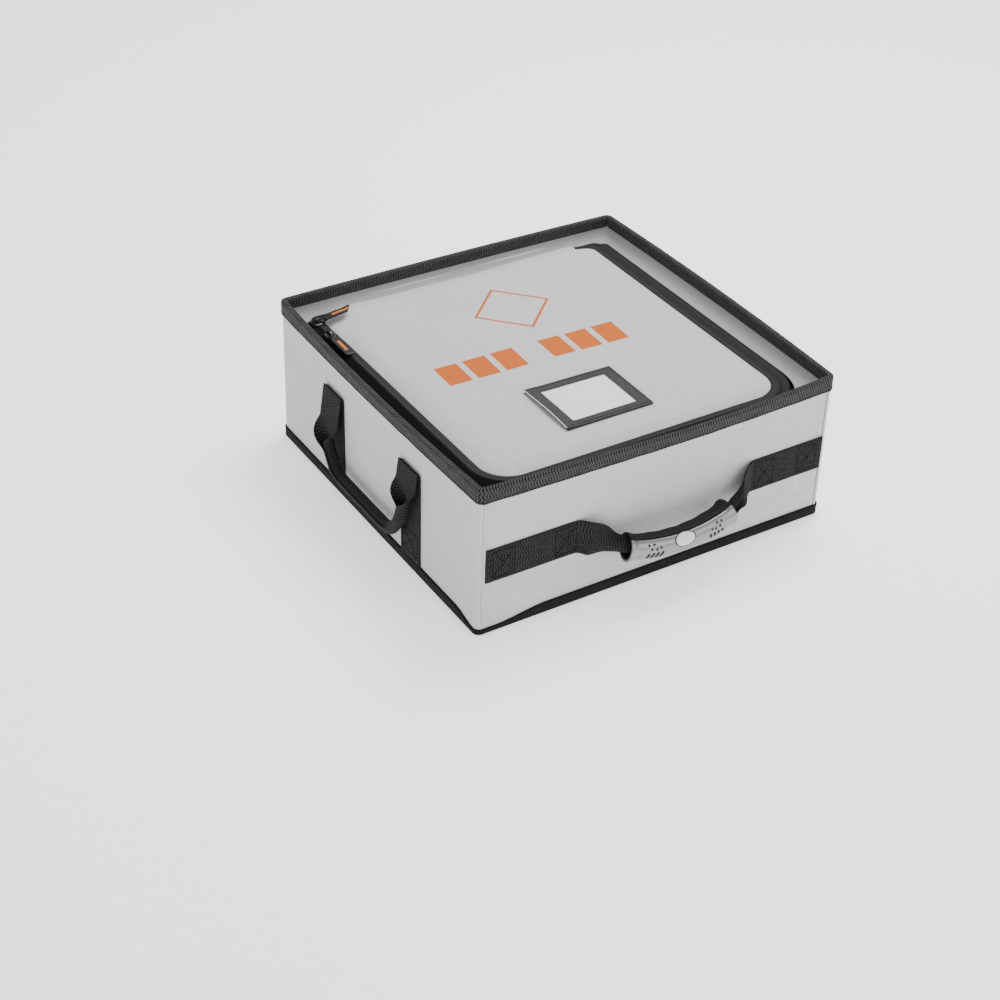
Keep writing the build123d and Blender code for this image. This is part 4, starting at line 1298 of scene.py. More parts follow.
def inflate(obj, pinned, cap):
    """Fills the pad with air as cloth, then keeps the rise of each point below cap."""
    before = np.array([v.co for v in obj.data.vertices], float)
    group = obj.vertex_groups.new(name="sewn")
    group.add([int(i) for i in np.nonzero(pinned)[0]], 1.0, "REPLACE")
    cloth_mod = obj.modifiers.new("fill", "CLOTH")
    settings = cloth_mod.settings
    settings.quality = 5
    settings.mass = 0.25
    settings.tension_stiffness = settings.compression_stiffness = 14
    settings.shear_stiffness = 5
    settings.bending_stiffness = 0.6
    settings.vertex_group_mass = "sewn"
    settings.use_pressure = True
    settings.uniform_pressure_force = 4.0
    settings.shrink_min = -0.015
    settings.effector_weights.gravity = 0.0
    cloth_mod.collision_settings.use_collision = False
    cloth_mod.point_cache.frame_start = 1
    cloth_mod.point_cache.frame_end = 20
    scene = bpy.context.scene
    scene.frame_start, scene.frame_end = 1, 20
    for frame_number in range(1, 21):
        scene.frame_set(frame_number)
    evaluated = obj.evaluated_get(bpy.context.evaluated_depsgraph_get())
    after = np.array([v.co for v in evaluated.data.vertices], float)
    obj.modifiers.remove(cloth_mod)
    scene.frame_set(1)
    if len(after) != len(before) or not np.isfinite(after).all():
        return
    move = after - before
    move[:, 2] = np.maximum(move[:, 2], -0.4 * MM)
    size = np.linalg.norm(move, axis=1, keepdims=True)
    move = move * (cap * (1 - np.exp(-size / cap))) / np.maximum(size, 1e-9)
    move[pinned] = 0
    obj.data.vertices.foreach_set("co", (before + move).astype(np.float32).ravel())
    obj.data.update()


def fill_pad():
    """Fills the pad, then adds puckers, notches, drape and creases to its top."""
    co = np.array([v.co for v in pad.data.vertices], float)
    count = PAD_TOP.shape[0] * PAD_TOP.shape[1]
    i, j = np.divmod(np.arange(len(co)) % count, PAD_TOP.shape[1])
    border = (i == 0) | (i == PAD_TOP.shape[0] - 1) | (j == 0)
    pinned = (np.arange(len(co)) >= count) | border | (co[:, 1] > 0.172)
    in_label = (np.abs(co[:, 0] + 0.018) < 0.058) & (np.abs(co[:, 1] + 0.097) < 0.047)
    pinned |= in_label
    inflate(pad, pinned, 1.5 * MM)
    co = np.array([v.co for v in pad.data.vertices], float)
    top = np.arange(len(co)) < count
    x, y = co[:, 0], co[:, 1]
    half = lid_half(y)
    inset = np.minimum(half - np.abs(x), y - LID_FRONT)
    near = np.exp(-((inset - 0.009) / 0.008) ** 2) * (y < 0.170)
    along = np.arctan2(y, x) * 0.17
    pucker = 0.40 * MM * ripple(along, 71, 9, 20, 70) * near
    notch = 1.6 * MM * (bump(x, -0.142, 0.004) + bump(x, -0.112, 0.004))
    notch = notch * smooth((LID_FRONT + 0.022 - y) / 0.016) * (inset > 0.001)
    drape = 0.55 * MM * ripple(x + 0.8 * y, 72, 5, 3, 9) * smooth((inset - 0.01) / 0.03) * ~in_label
    crease = ridge(x, y, (-0.060, 0.186), (0.120, 0.176), 0.006, 0.8 * MM)
    crease = crease + ridge(x, y, (0.05, 0.15), (0.15, 0.186), 0.008, 0.7 * MM)
    co[:, 2] += (pucker - notch + drape + crease) * top * smooth(inset / 0.003)
    pad.data.vertices.foreach_set("co", co.astype(np.float32).ravel())
    pad.data.update()
    uv = pad.data.uv_layers["weave"].data
    index = np.zeros(len(pad.data.loops), np.int32)
    pad.data.loops.foreach_get("vertex_index", index)
    uv.foreach_set("uv", co[index][:, :2].astype(np.float32).ravel())


fill_pad()
fine = pad.modifiers.new("fine", "SUBSURF")
fine.levels = fine.render_levels = 1
fine.uv_smooth = "NONE"
bpy.context.view_layer.objects.active = pad
bpy.ops.object.select_all(action="DESELECT")
pad.select_set(True)
bpy.ops.object.modifier_apply(modifier=fine.name)
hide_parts("lid_cover", "lid_foam", "back_flap")
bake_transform(pad)

lining_lo, lining_hi = node_box("lid_lining")


def lid_lining():
    """The lining under the lid, with the lid's round front corners."""
    x = np.linspace(-lining_hi[0], lining_hi[0], 61)
    y = np.linspace(lining_lo[1], lining_hi[1], 56)
    X, Y = np.meshgrid(x, y, indexing="ij")
    r = 30.0 * MM
    over_x = np.maximum(np.abs(X) - (lining_hi[0] - r), 0)
    over_y = np.maximum(lining_lo[1] + r - Y, 0)
    far = np.maximum(np.hypot(over_x, over_y), 1e-9)
    pull = np.where(far > r, r / far, 1.0)
    corner = (over_x > 0) & (over_y > 0)
    X = np.where(corner, np.sign(X) * (lining_hi[0] - r + over_x * pull), X)
    Y = np.where(corner, lining_lo[1] + r - over_y * pull, Y)
    edge = smooth((lining_hi[0] - np.abs(X)) / 0.012)
    edge = edge * smooth((Y - lining_lo[1]) / 0.012) * smooth((lining_hi[1] - Y) / 0.012)
    low = lining_hi[2] - 0.55 * MM - 0.9 * MM * edge * (0.5 + 0.5 * ripple(X + Y, 81, 5, 4, 12))
    P = np.stack([X, Y, low], -1)
    upper = np.stack([X, Y, np.full_like(X, lining_hi[2] - 0.05 * MM)], -1)
    return cloth("lid_lining_cloth", P, 0, MATERIAL["lining"], inner=upper, flip=True)


sheet_piece(lid_lining(), "lid", "lining_grey", (2 * lining_hi[0], lining_hi[1] - lining_lo[1]),
            "stretched", ["lid_canvas"],
            "lid_lining")

# ---------------------------------------------------------------- the label pocket
FRAME_LO, FRAME_HI = node_box("label_frame")
FILM_LO, FILM_HI = node_box("label_window")
CARD_LO, CARD_HI = node_box("label_card")
LABEL_C = (FRAME_LO + FRAME_HI) / 2


def ring_strip(corners_out, corners_in, section, steps):
    """Points round a mitred four-cornered band; section gives (0 outside to 1 inside, height)."""
    P = []
    for k in range(4):
        a_out, b_out = np.array(corners_out[k]), np.array(corners_out[(k + 1) % 4])
        a_in, b_in = np.array(corners_in[k]), np.array(corners_in[(k + 1) % 4])
        for i in range(steps):
            t = i / steps
            o, q = a_out + (b_out - a_out) * t, a_in + (b_in - a_in) * t
            P.append([[*(o + (q - o) * s), h] for s, h in section])
    return np.array(P)


def label_lift(x, y):
    """The pocket lies on the lid's crown, and its open left end stands up a little."""
    x, y = np.asarray(x, float), np.asarray(y, float)
    open_end = smooth((FRAME_LO[0] + 0.022 - x) / 0.022)
    return (pad_height(x, y) - DOME_TOP + 0.15 * MM
            + 2.4 * MM * open_end * (0.35 + 0.65 * bump(y, LABEL_C[1] - 0.005, 0.05)))


def quad(lo, hi, skew):
    """Corners of a box whose far right corner is pulled in by skew."""
    return [(lo[0], lo[1]), (hi[0], lo[1]), (hi[0], hi[1] - skew), (lo[0], hi[1])]


def label_frame():
    """The woven border of the label pocket."""
    t = FRAME_HI[2]
    low = t - 0.75 * MM
    section = [(0, low), (0.0, t - 0.2 * MM), (0.04, t), (0.2, t + 0.02 * MM), (0.4, t),
               (0.6, t + 0.02 * MM), (0.8, t),
               (0.96, t), (1.0, t - 0.2 * MM), (1.0, low), (0.66, low), (0.33, low)]
    win_lo = FILM_LO + np.array([4, 4, 0]) * MM
    win_hi = FILM_HI - np.array([4, 4, 0]) * MM
    outside = quad(FRAME_LO + 0.1 * MM, FRAME_HI - 0.1 * MM, 2.0 * MM)
    P = ring_strip(outside, quad(win_lo, win_hi, 1.5 * MM), section, 44)
    rib = 0.10 * MM * np.sin(np.arange(len(P)) * 2.1)
    P[..., 2] += label_lift(P[..., 0], P[..., 1])
    P[:, 1:9, 2] += rib[:, None]
    obj = surface("label_border", P, MATERIAL["border"], closed_u=True, closed_v=True)
    return sheet_piece(obj, "lid", "label_border", (0.013, 0.32), "stretched", ["lid_canvas"],
                       "label_frame")


label_frame()
y_edge = np.linspace(FRAME_LO[1] + 1.2 * MM, FRAME_HI[1] - 1.0 * MM, 50)
x_edge = np.full_like(y_edge, FRAME_LO[0] - 0.05 * MM)
white_edge = np.column_stack([x_edge, y_edge, FRAME_HI[2] - 0.25 * MM + label_lift(x_edge, y_edge)])
finish_piece(bent_bar("label_open_edge", white_edge, (1, 0, 0), 0.5 * MM, 0.28 * MM, MATERIAL["badge"]),
             "lid", "label_border")
HEM_Z = FRAME_HI[2] - 0.85 * MM
LEFT, RIGHT = FRAME_LO[0] + 0.8 * MM, FRAME_HI[0] - 0.8 * MM
FRONT, BACK = FRAME_LO[1], FRAME_HI[1]
HEMS = {"front": (LEFT, RIGHT, FRONT + 0.6 * MM, FRONT + 4.2 * MM),
        "back": (LEFT, RIGHT, BACK - 4.6 * MM, BACK - 2.6 * MM),
        "right": (FRAME_HI[0] - 4.2 * MM, RIGHT, FRONT + 4.6 * MM, BACK - 5.0 * MM)}
for edge_name, (x0, x1, y0, y1) in HEMS.items():
    X, Y = np.meshgrid(np.linspace(x0, x1, 40), np.linspace(y0, y1, 12), indexing="ij")
    top = np.stack([X, Y, HEM_Z + label_lift(X, Y)], -1)
    low = np.stack([X, Y, pad_height(X, Y) + 0.1 * MM], -1)
    obj = cloth(f"label_hem_{edge_name}", top, 0, MATERIAL["border"], inner=low)
    finish_piece(obj, "lid", "label_border")

sewn = quad(FRAME_LO + 3 * MM, FRAME_HI - 3 * MM, 2 * MM)
path = ring_strip(sewn, sewn, [(0, FRAME_HI[2] + 0.12 * MM)], 40)[:, 0]
path[:, 2] += label_lift(path[:, 0], path[:, 1])
open_end = path[:, 0] < FRAME_LO[0] + 4 * MM
finish_piece(stitches("label_stitches", path[~open_end], (0, 0, 1), MATERIAL["thread_black"],
                      length=2.4 * MM, radius=0.28 * MM),
             "lid", "label_border")

X, Y = np.meshgrid(np.linspace(FILM_LO[0], FILM_HI[0], 41), np.linspace(FILM_LO[1], FILM_HI[1], 33),
                   indexing="ij")
film_z = FILM_LO[2] + 0.1 * MM + 0.07 * MM * ripple(X * 1.3 + Y, 91, 4, 8, 25)
film = np.stack([X, Y, film_z + label_lift(X, Y)], -1)
finish_piece(cloth("label_film", film + [0, 0, 0.06 * MM], 0, MATERIAL["film"],
                   inner=film - [0, 0, 0.06 * MM]), "lid",
             "window_film", "label_window")


def card():
    """The blank card, bent with the pocket."""
    x = np.linspace(CARD_LO[0], CARD_HI[0], 45)
    y = np.linspace(CARD_LO[1], CARD_HI[1], 35)
    X, Y = np.meshgrid(x, y, indexing="ij")
    lift = label_lift(X, Y)
    mid = (CARD_LO[2] + CARD_HI[2]) / 2
    top = np.stack([X, Y, mid + 0.22 * MM + lift], -1)
    low = np.stack([X, Y, mid - 0.22 * MM + lift], -1)
    obj = cloth("label_card_blank", top, 0, MATERIAL["card"], inner=low, u=x - x.mean(), v=y - y.mean())
    return finish_piece(obj, "card", "card_white", "label_card")


card()


# ---------------------------------------------------------------- sliders and pullers
def slider_shell(name, centre, turn, z_low, z_top):
    """A slider's upper plate: narrower at its mouth, domed, with a rolled edge."""
    rings = [(0.97, z_low), (1.0, z_low + 0.35 * MM), (1.0, z_top - 0.75 * MM), (0.95, z_top - 0.3 * MM),
             (0.86, z_top - 0.08 * MM),
             (0.6, z_top), (0.3, z_top + 0.04 * MM)]
    a = np.linspace(0, 2 * math.pi, 41)[:-1]
    c, s = np.cos(a), np.sin(a)
    px = 6.45 * MM * np.sign(c) * np.abs(c) ** 0.62
    py = 5.45 * MM * np.sign(s) * np.abs(s) ** 0.62 * (1 - 0.16 * px / (6.45 * MM))
    P = np.zeros((len(rings), len(a), 3))
    for k, (scale, z) in enumerate(rings):
        x, y = px * scale, py * scale
        P[k, :, 0] = centre[0] + x * math.cos(turn) - y * math.sin(turn)
        P[k, :, 1] = centre[1] + x * math.sin(turn) + y * math.cos(turn)
        P[k, :, 2] = z
    return surface(name, P, MATERIAL["lacquer"], closed_v=True, caps=True)


def joined(name, parts):
    """Several meshes made into one piece."""
    bpy.ops.object.select_all(action="DESELECT")
    for p in parts:
        p.select_set(True)
    bpy.context.view_layer.objects.active = parts[0]
    bpy.ops.object.join()
    parts[0].name = name
    return parts[0]


def slider(number, turn, puller_turn, body):
    """Plate, bridge and side rails of a slider."""
    hi = node_box(f"slider_{number}")[1]
    pivot = np.array(JOINTS[f"puller_{number}_hinge"]["pos_m"])
    z_low = LEDGE_Z + 2.55 * MM
    z_top = z_low + 1.35 * MM
    centre = pivot[:2]
    plate = slider_shell(f"slider_{number}_plate", centre, turn, z_low, z_top)
    d = np.array([math.cos(puller_turn), math.sin(puller_turn), 0])
    across = np.array([-d[1], d[0], 0])
    a = np.linspace(-0.06 * math.pi, 1.06 * math.pi, 17)
    arch_r = (hi[2] - z_top) - 0.65 * MM
    arch = [np.array([*centre, z_top]) + d * math.cos(t) * arch_r * 1.25
            + np.array([0, 0, math.sin(t) * arch_r]) for t in a]
    bridge = bent_bar(f"slider_{number}_bridge", arch, across, 1.5 * MM, 0.5 * MM, MATERIAL["lacquer"])
    flanges = []
    e = np.array([math.cos(turn), math.sin(turn), 0])
    f = np.array([-e[1], e[0], 0])
    for sign in (-1, 1):
        rail = [np.array([*centre, z_low - 0.55 * MM]) + e * t + f * sign * 4.95 * MM
                for t in np.linspace(-4.2, 4.2, 9) * MM]
        flanges.append(bent_bar("rail", rail, (0, 0, 1), 0.85 * MM, 0.42 * MM, MATERIAL["lacquer"]))
    obj = joined(f"slider_{number}_body", [plate, bridge, *flanges])
    finish_piece(obj, body, "slider_metal", f"slider_{number}")


slider("1", math.pi / 2, 0.0, "slider_1")
slider("2", -math.pi / 2, -math.pi / 2, "slider_2")


def wire_link(number, direction, tilt, body):
    """The round wire loop between a slider and its tab."""
    lo, hi = node_box(f"puller_link_{number}")
    pivot = np.array(JOINTS[f"puller_{number}_hinge"]["pos_m"])
    half = 2.3 * MM
    reach = max(hi[0] - pivot[0], pivot[1] - lo[1]) - 0.7 * MM
    d = np.array([direction[0] * math.cos(tilt), direction[1] * math.cos(tilt), math.sin(tilt)])
    across = np.array([-direction[1], direction[0], 0])
    pts2 = []
    for cx, cy, a0 in ((reach - 1.0 * MM, half - 1.0 * MM, 0), (1.0 * MM, half - 1.0 * MM, 90),
                       (1.0 * MM, -half + 1.0 * MM, 180),
                       (reach - 1.0 * MM, -half + 1.0 * MM, 270)):
        for a in np.radians(np.linspace(a0, a0 + 90, 6)):
            pts2.append((cx + math.cos(a) * 1.0 * MM, cy + math.sin(a) * 1.0 * MM))
    pts2 = np.array(pts2)
    centre = pivot + pts2[:, :1] * d + pts2[:, 1:] * across
    up = np.cross(d, across)
    tang = np.roll(centre, -1, 0) - np.roll(centre, 1, 0)
    tang /= np.linalg.norm(tang, axis=1, keepdims=True)
    side = np.cross(tang, up)
    a = np.linspace(0, 2 * math.pi, 11)[:-1]
    P = centre[:, None] + 0.55 * MM * (np.cos(a)[None, :, None] * side[:, None] + np.sin(a)[None, :, None]
                                       * up)
    obj = surface(f"puller_{number}_link", P, MATERIAL["lacquer"], closed_u=True, closed_v=True)
    finish_piece(obj, body, "slider_metal", f"puller_link_{number}")


def puller_tab(number, direction, tilt, slanted, body):
    """A moulded tab: raised rim, sunk face with one plain bar, and a slot near its far end."""
    lo, hi = node_box(f"puller_tab_{number}")
    pivot = np.array(JOINTS[f"puller_{number}_hinge"]["pos_m"])
    d = np.array([direction[0] * math.cos(tilt), direction[1] * math.cos(tilt), math.sin(tilt)])
    across = np.array([-direction[1], direction[0], 0.0])
    up = np.cross(d, across)
    up = up if up[2] > 0 else -up
    link_lo, link_hi = node_box(f"puller_link_{number}")
    start = max(link_hi[0] - pivot[0], pivot[1] - link_lo[1]) + 0.35 * MM
    far = max(hi[0] - pivot[0], pivot[1] - lo[1]) / math.cos(tilt) - 0.2 * MM
    half = 5.4 * MM
    n_u, n_v = 53, 23
    u = np.linspace(0, 1, n_u)
    v = np.linspace(-1, 1, n_v)
    U, V = np.meshgrid(u, v, indexing="ij")
    slant = (slanted * 3.0 * MM) * V
    length = far - start
    S = start + U * (length + slant * U)
    r = 2.2 * MM
    e0 = np.minimum(S - start, start + length + slant - S)
    rounded = np.where(e0 < r, np.sqrt(np.clip(1 - ((r - e0) / r) ** 2 * 0.32, 0, 1)), 1)
    width = half * (0.82 + 0.18 * smooth(U / 0.22)) * rounded
    T = V * width
    rim_in = np.minimum(width - np.abs(T), e0)
    face = 0.72 * MM + 0.20 * MM * smooth(1 - np.abs(rim_in - 0.9 * MM) / (0.8 * MM))
    edge = np.clip(rim_in / (0.5 * MM), 0, 1)
    face = face * np.sqrt(np.clip(1 - (1 - edge) ** 2, 0.02, 1))
    slot = (np.abs(S - (start + length * 0.80)) < 1.5 * MM) & (np.abs(T) < 3.1 * MM)
    face = np.where(slot, 0.25 * MM, face)
    bar = (np.abs(S - (start + length * 0.40)) < length * 0.24) & (np.abs(T) < 1.7 * MM)
    face = np.where(bar, face + 0.12 * MM, face)
    place = lambda h: pivot + S[..., None] * d + T[..., None] * across + h[..., None] * up
    obj = cloth(f"puller_{number}_tab", place(face), 0, MATERIAL["tab"], inner=place(-face * 0.9),
                u=(u * length), v=v * half,
                flip=True)
    eye = [pivot + d * (start - 0.35 * MM + 1.15 * MM * (1 - math.cos(t)) - 1.15 * MM) + up * 1.05 * MM
           * math.sin(t)
           for t in np.linspace(0.25, 2 * math.pi - 0.25, 15)]
    loop = bent_bar("eye", eye, across, 1.5 * MM, 0.32 * MM, MATERIAL["tab"])
    finish_piece(joined(f"puller_{number}_tab", [obj, loop]), body, "puller_rubber", f"puller_tab_{number}")


TAB_1_WAY = (math.cos(math.radians(-5)), math.sin(math.radians(-5)))
wire_link("1", TAB_1_WAY, math.radians(7.0), "puller_1")
puller_tab("1", TAB_1_WAY, math.radians(12.0), 1.0, "puller_1")
wire_link("2", (0.0, -1.0), 0.0, "puller_2")
puller_tab("2", (0.0, -1.0), 0.0, 0.0, "puller_2")


# ---------------------------------------------------------------- webbing
WEB_HALF = 19.0 * MM
WEB_T = 1.5 * MM


def web_section(fold, s_count=33):
    """Cross-section of webbing, as (across, out) of its middle line: 0 flat, 1 rolled up lengthwise."""
    s = np.linspace(-WEB_HALF, WEB_HALF, s_count)
    fold = float(np.clip(fold, -1, 1))
    turn = fold * 2 * math.pi * 1.16
    if abs(turn) < 1e-3:
        return np.column_stack([s, np.zeros_like(s)])
    angle = turn * s / (2 * WEB_HALF)
    tight = 1 + 0.20 * abs(fold) * (s / WEB_HALF)
    step = np.column_stack([np.cos(angle), np.sin(angle)]) * tight[:, None]
    ds = 2 * WEB_HALF / (s_count - 1)
    mid = np.cumsum((step[1:] + step[:-1]) / 2 * ds, axis=0)
    pts = np.concatenate([[[0, 0]], mid])
    centre = pts[s_count // 2]
    pts = pts - centre
    return pts - np.array([0, (pts[:, 1].min() + pts[:, 1].max()) / 2 * abs(fold)])


def web_strip(name, line, across, out, folds, s_count=33, rib=0.34 * MM, seed=1, scale=1.0, crumple=None):
    """Webbing along a line. folds gives how far each place is rolled up, and crumple how creased it is."""
    line, across, out = (np.asarray(a, float) for a in (line, across, out))
    run = running(line)
    top, low = np.zeros((len(line), s_count, 3)), np.zeros((len(line), s_count, 3))
    scale = np.broadcast_to(scale, (len(line),))
    v_line = np.linspace(-WEB_HALF, WEB_HALF, s_count)
    for i in range(len(line)):
        sec = web_section(folds[i], s_count) * scale[i]
        if crumple is not None and crumple[i] > 0:
            s = np.linspace(0, 1, s_count)
            long_crease = 0.5 * ripple(s + run[i] * 9, seed, 4, 1.0, 3.0)
            cross_crease = 0.5 * ripple(s * 2 - run[i] * 14, seed + 1, 3, 1.0, 2.5)
            sec[:, 1] += 1.5 * MM * crumple[i] * (long_crease + cross_crease)
        d = np.gradient(sec, axis=0)
        d /= np.maximum(np.linalg.norm(d, axis=1, keepdims=True), 1e-12)
        n = np.column_stack([-d[:, 1], d[:, 0]])
        edge = np.sqrt(np.clip(1 - (np.clip(np.abs(np.linspace(-1, 1, s_count)) - 0.95, 0, 1) / 0.05) ** 2
                               * 0.7, 0, 1))
        ridge_line = run[i] + 0.35 * MM * np.sin(v_line * 1400)
        swell = abs(rib) * (0.5 + 0.5 * np.sin(ridge_line * 2 * math.pi / (2.7 * MM)))
        h = (WEB_T / 2 * edge + (swell if rib > 0 else 0))[:, None]
        g = (WEB_T / 2 * edge + (swell if rib < 0 else 0))[:, None]
        a, b = sec + n * h, sec - n * g
        top[i] = line[i] + a[:, :1] * across[i] + a[:, 1:] * out[i]
        low[i] = line[i] + b[:, :1] * across[i] + b[:, 1:] * out[i]
    return cloth(name, top, 0, MATERIAL["webbing"], inner=low, u=run, v=v_line, flip=True)


STRAP_LO, STRAP_HI = node_box("front_strap_left")
STRAP_R_LO, STRAP_R_HI = node_box("front_strap_right")
STRAP_Z = (STRAP_LO[2] + STRAP_HI[2]) / 2
GRIP = JOINTS["front_handle_hinge"]["pos_m"]
GRIP_MID_X = (STRAP_HI[0] + STRAP_R_LO[0]) / 2
DROOP = math.radians(44.0)
GRIP_Y = np.array([0, -math.cos(DROOP), -math.sin(DROOP)])
GRIP_UP = np.array([0, -math.sin(DROOP), math.cos(DROOP)])
GRIP_DEPTH, GRIP_SAG, GRIP_HALF = 29.5 * MM, 9.0 * MM, 61.5 * MM
BOW_R = (GRIP_HALF ** 2 + GRIP_SAG ** 2) / (2 * GRIP_SAG)


def grip_point(x, depth):
    """A point of the handle: x along it, depth away from its hinge."""
    return np.array([GRIP_MID_X + x, GRIP[1], GRIP[2]]) + GRIP_Y * depth


def bow_depth(x):
    """Depth of the grip's bowed middle line."""
    return GRIP_DEPTH - BOW_R + math.sqrt(BOW_R ** 2 - min(abs(x), GRIP_HALF + 0.004) ** 2)


def front_webbing(side):
    """One run of webbing: sewn flat to the wall, gathered at the handle, and rolled up into the grip."""
    sign = -1 if side == "left" else 1
    outer = STRAP_LO[0] if sign < 0 else STRAP_R_HI[0]
    end = STRAP_HI[0] if sign < 0 else STRAP_R_LO[0]
    rope = abs(end - GRIP_MID_X) - 1.0 * MM
    line = []
    for x in np.linspace(abs(outer), abs(end) + 2 * MM, 160):
        line.append([sign * x, -WALL_Y - 0.95 * MM, STRAP_Z])
    local = list(np.linspace(rope, GRIP_HALF, 60)) + list(np.linspace(GRIP_HALF, 8 * MM, 60)[1:])
    for x in local:
        if x > GRIP_HALF:
            t = (rope - x) / (rope - GRIP_HALF)
            depth = (GRIP_DEPTH - GRIP_SAG) * (t ** 1.25)
        else:
            depth = bow_depth(x)
        line.append(grip_point(sign * x, depth))
    line = np.array(line)
    for _ in range(60):
        line[1:-1] = (line[:-2] + 2 * line[1:-1] + line[2:]) / 4
    flat_end = abs(end) - (6 if sign < 0 else 2) * MM
    along = flat_end - np.abs(line[:, 0])
    gather = smooth(along / (26 * MM))
    folds = 0.52 * gather + 0.08 * smooth((along - 0.035) / 0.01)
    tang = unit(np.gradient(line, axis=0))
    z_axis = np.array([0, 0, 1.0])
    across = z_axis - tang * (tang @ z_axis)[:, None]
    across /= np.linalg.norm(across, axis=1, keepdims=True)
    toward = -np.cross(across, tang)
    toward *= np.sign(toward[:, 1:2])
    wave = 0.35 * MM * (1 + ripple(line[:, 0], 101 + sign, 4, 8, 30)) * (gather < 0.02)
    line = line - toward * wave[:, None]
    line[:, 2] -= 3.0 * MM * bump(along, 0.016, 0.018)
    warped = warp(line)
    line = line + (warped - line) * (1 - gather)[:, None]
    shrink = 1 - 0.18 * gather
    name = f"front_webbing_{side}"
    obj = web_strip(name, line, across, toward, -sign * folds, scale=shrink, rib=-0.34 * MM, crumple=gather)
    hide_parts(f"front_strap_{side}", "front_handle_webbing")
    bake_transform(obj)
    return obj


front_webbing("left")
front_webbing("right")


def box_stitch(name, centre, size, across, up, normal):
    """A sewn box with a cross in it."""
    c, a, b, n = (np.asarray(v, float) for v in (centre, across, up, normal))
    w, h = size[0] / 2, size[1] / 2
    corners = [(-w, -h), (w, -h), (w, h), (-w, h), (-w, -h), (w, h), (w, -h), (-w, h)]
    line = []
    for (x0, y0), (x1, y1) in zip(corners, corners[1:]):
        for t in np.linspace(0, 1, 12)[:-1]:
            line.append(c + a * (x0 + (x1 - x0) * t) + b * (y0 + (y1 - y0) * t))
    line = warp(np.array(line))
    obj = stitches(name, line, n, MATERIAL["thread_black"], length=2.8 * MM, gap=0.9 * MM, radius=0.36 * MM)
    return finish_piece(obj, "root", "webbing_black")


STRAP_BOXES = {"left_outer": -183 * MM, "left_inner": -113 * MM, "right_inner": 128 * MM,
               "right_outer": 183 * MM}
BOX_SIZE = (24 * MM, 30 * MM)
for side, x in STRAP_BOXES.items():
    centre = (x, -WALL_Y - 2.55 * MM, STRAP_Z)
    box_stitch(f"strap_box_{side}", centre, BOX_SIZE, (1, 0, 0), (0, 0, 1), (0, -1, 0))


# ---------------------------------------------------------------- grip
SPLIT = math.radians(107.0)
BORE_R = 10.0 * MM


def grip_radius(x, angle):
    """Outside radius of the grip: slimmer in the middle, flared at the ends."""
    t = abs(x) / GRIP_HALF
    r = 13.1 * MM + 0.4 * MM * t ** 2 + 1.3 * MM * smooth((t - 0.86) / 0.12)
    if abs(angle) > SPLIT:
        r -= 0.45 * MM * (0.5 + 0.5 * math.cos(2 * math.pi * x / (23 * MM))) * (t < 0.88) + 0.25 * MM
    return r


def grip_frame(x):
    """Centre and directions (outward, up) of the bowed grip at a place along it."""
    lean = math.asin(x / BOW_R)
    centre = np.array([GRIP_MID_X + BOW_R * math.sin(lean), GRIP[1], GRIP[2]]) + GRIP_Y * (
        GRIP_DEPTH - BOW_R + BOW_R * math.cos(lean))
    outward = GRIP_Y * math.cos(lean) + np.array([math.sin(lean), 0, 0])
    return centre, outward, GRIP_UP


def grip_part(name, first, last, material, slot, *replaced):
    """One half of the grip, from angle first to last round its middle line."""
    xs = np.concatenate([np.linspace(-1, -0.84, 12), np.linspace(-0.82, 0.82, 56),
                         np.linspace(0.84, 1, 12)]) * GRIP_HALF
    count = 41
    angles = np.linspace(first, last, count)
    outer, inner = [], []
    for x in xs:
        c, o, u = grip_frame(x)
        lip = smooth((abs(x) / GRIP_HALF - 0.9) / 0.1)
        row_o, row_i = [], []
        for k, a in enumerate(angles):
            r = grip_radius(x, a)
            soft = min(k, count - 1 - k)
            r -= (0.7 * MM, 0.22 * MM, 0.04 * MM)[soft] if soft < 3 else 0
            d = o * math.cos(a) + u * math.sin(a)
            row_o.append(c + d * r)
            row_i.append(c + d * (BORE_R + 0.15 * MM + 2.6 * MM * lip))
        outer.append(row_o)
        inner.append(row_i)
    obj = cloth(name, outer, 0, material, inner=inner)
    return finish_piece(obj, "front_handle", slot, *replaced)


grip_part("grip_silver_shell", -SPLIT + 0.02, SPLIT - 0.02, MATERIAL["silver"], "grip_silver", "grip_shell")
grip_part("grip_dark_liner", SPLIT + 0.02, 2 * math.pi - SPLIT - 0.02, MATERIAL["dark"], "grip_dark",
          "grip_liner")


def grip_throat(sign):
    """The dark bush that lines a flared end of the grip."""
    xs = np.linspace(0.80, 0.995, 9) * GRIP_HALF * sign
    a = np.linspace(0, 2 * math.pi, 37)[:-1]
    outer, inner = [], []
    for x in xs:
        c, o, u = grip_frame(x)
        lip = smooth((abs(x) / GRIP_HALF - 0.9) / 0.1)
        r = BORE_R + 2.6 * MM * lip
        outer.append([c + (o * math.cos(t) + u * math.sin(t)) * (r - 0.05 * MM) for t in a])
        inner.append([c + (o * math.cos(t) + u * math.sin(t)) * (r - 0.9 * MM) for t in a])
    outer, inner = np.array(outer), np.array(inner)
    ring = np.concatenate([outer, inner[::-1]], 0)
    obj = surface(f"grip_throat_{'left' if sign < 0 else 'right'}", ring, MATERIAL["dark"], closed_u=True,
                  closed_v=True)
    return finish_piece(obj, "front_handle", "grip_dark")


grip_throat(-1)
grip_throat(1)


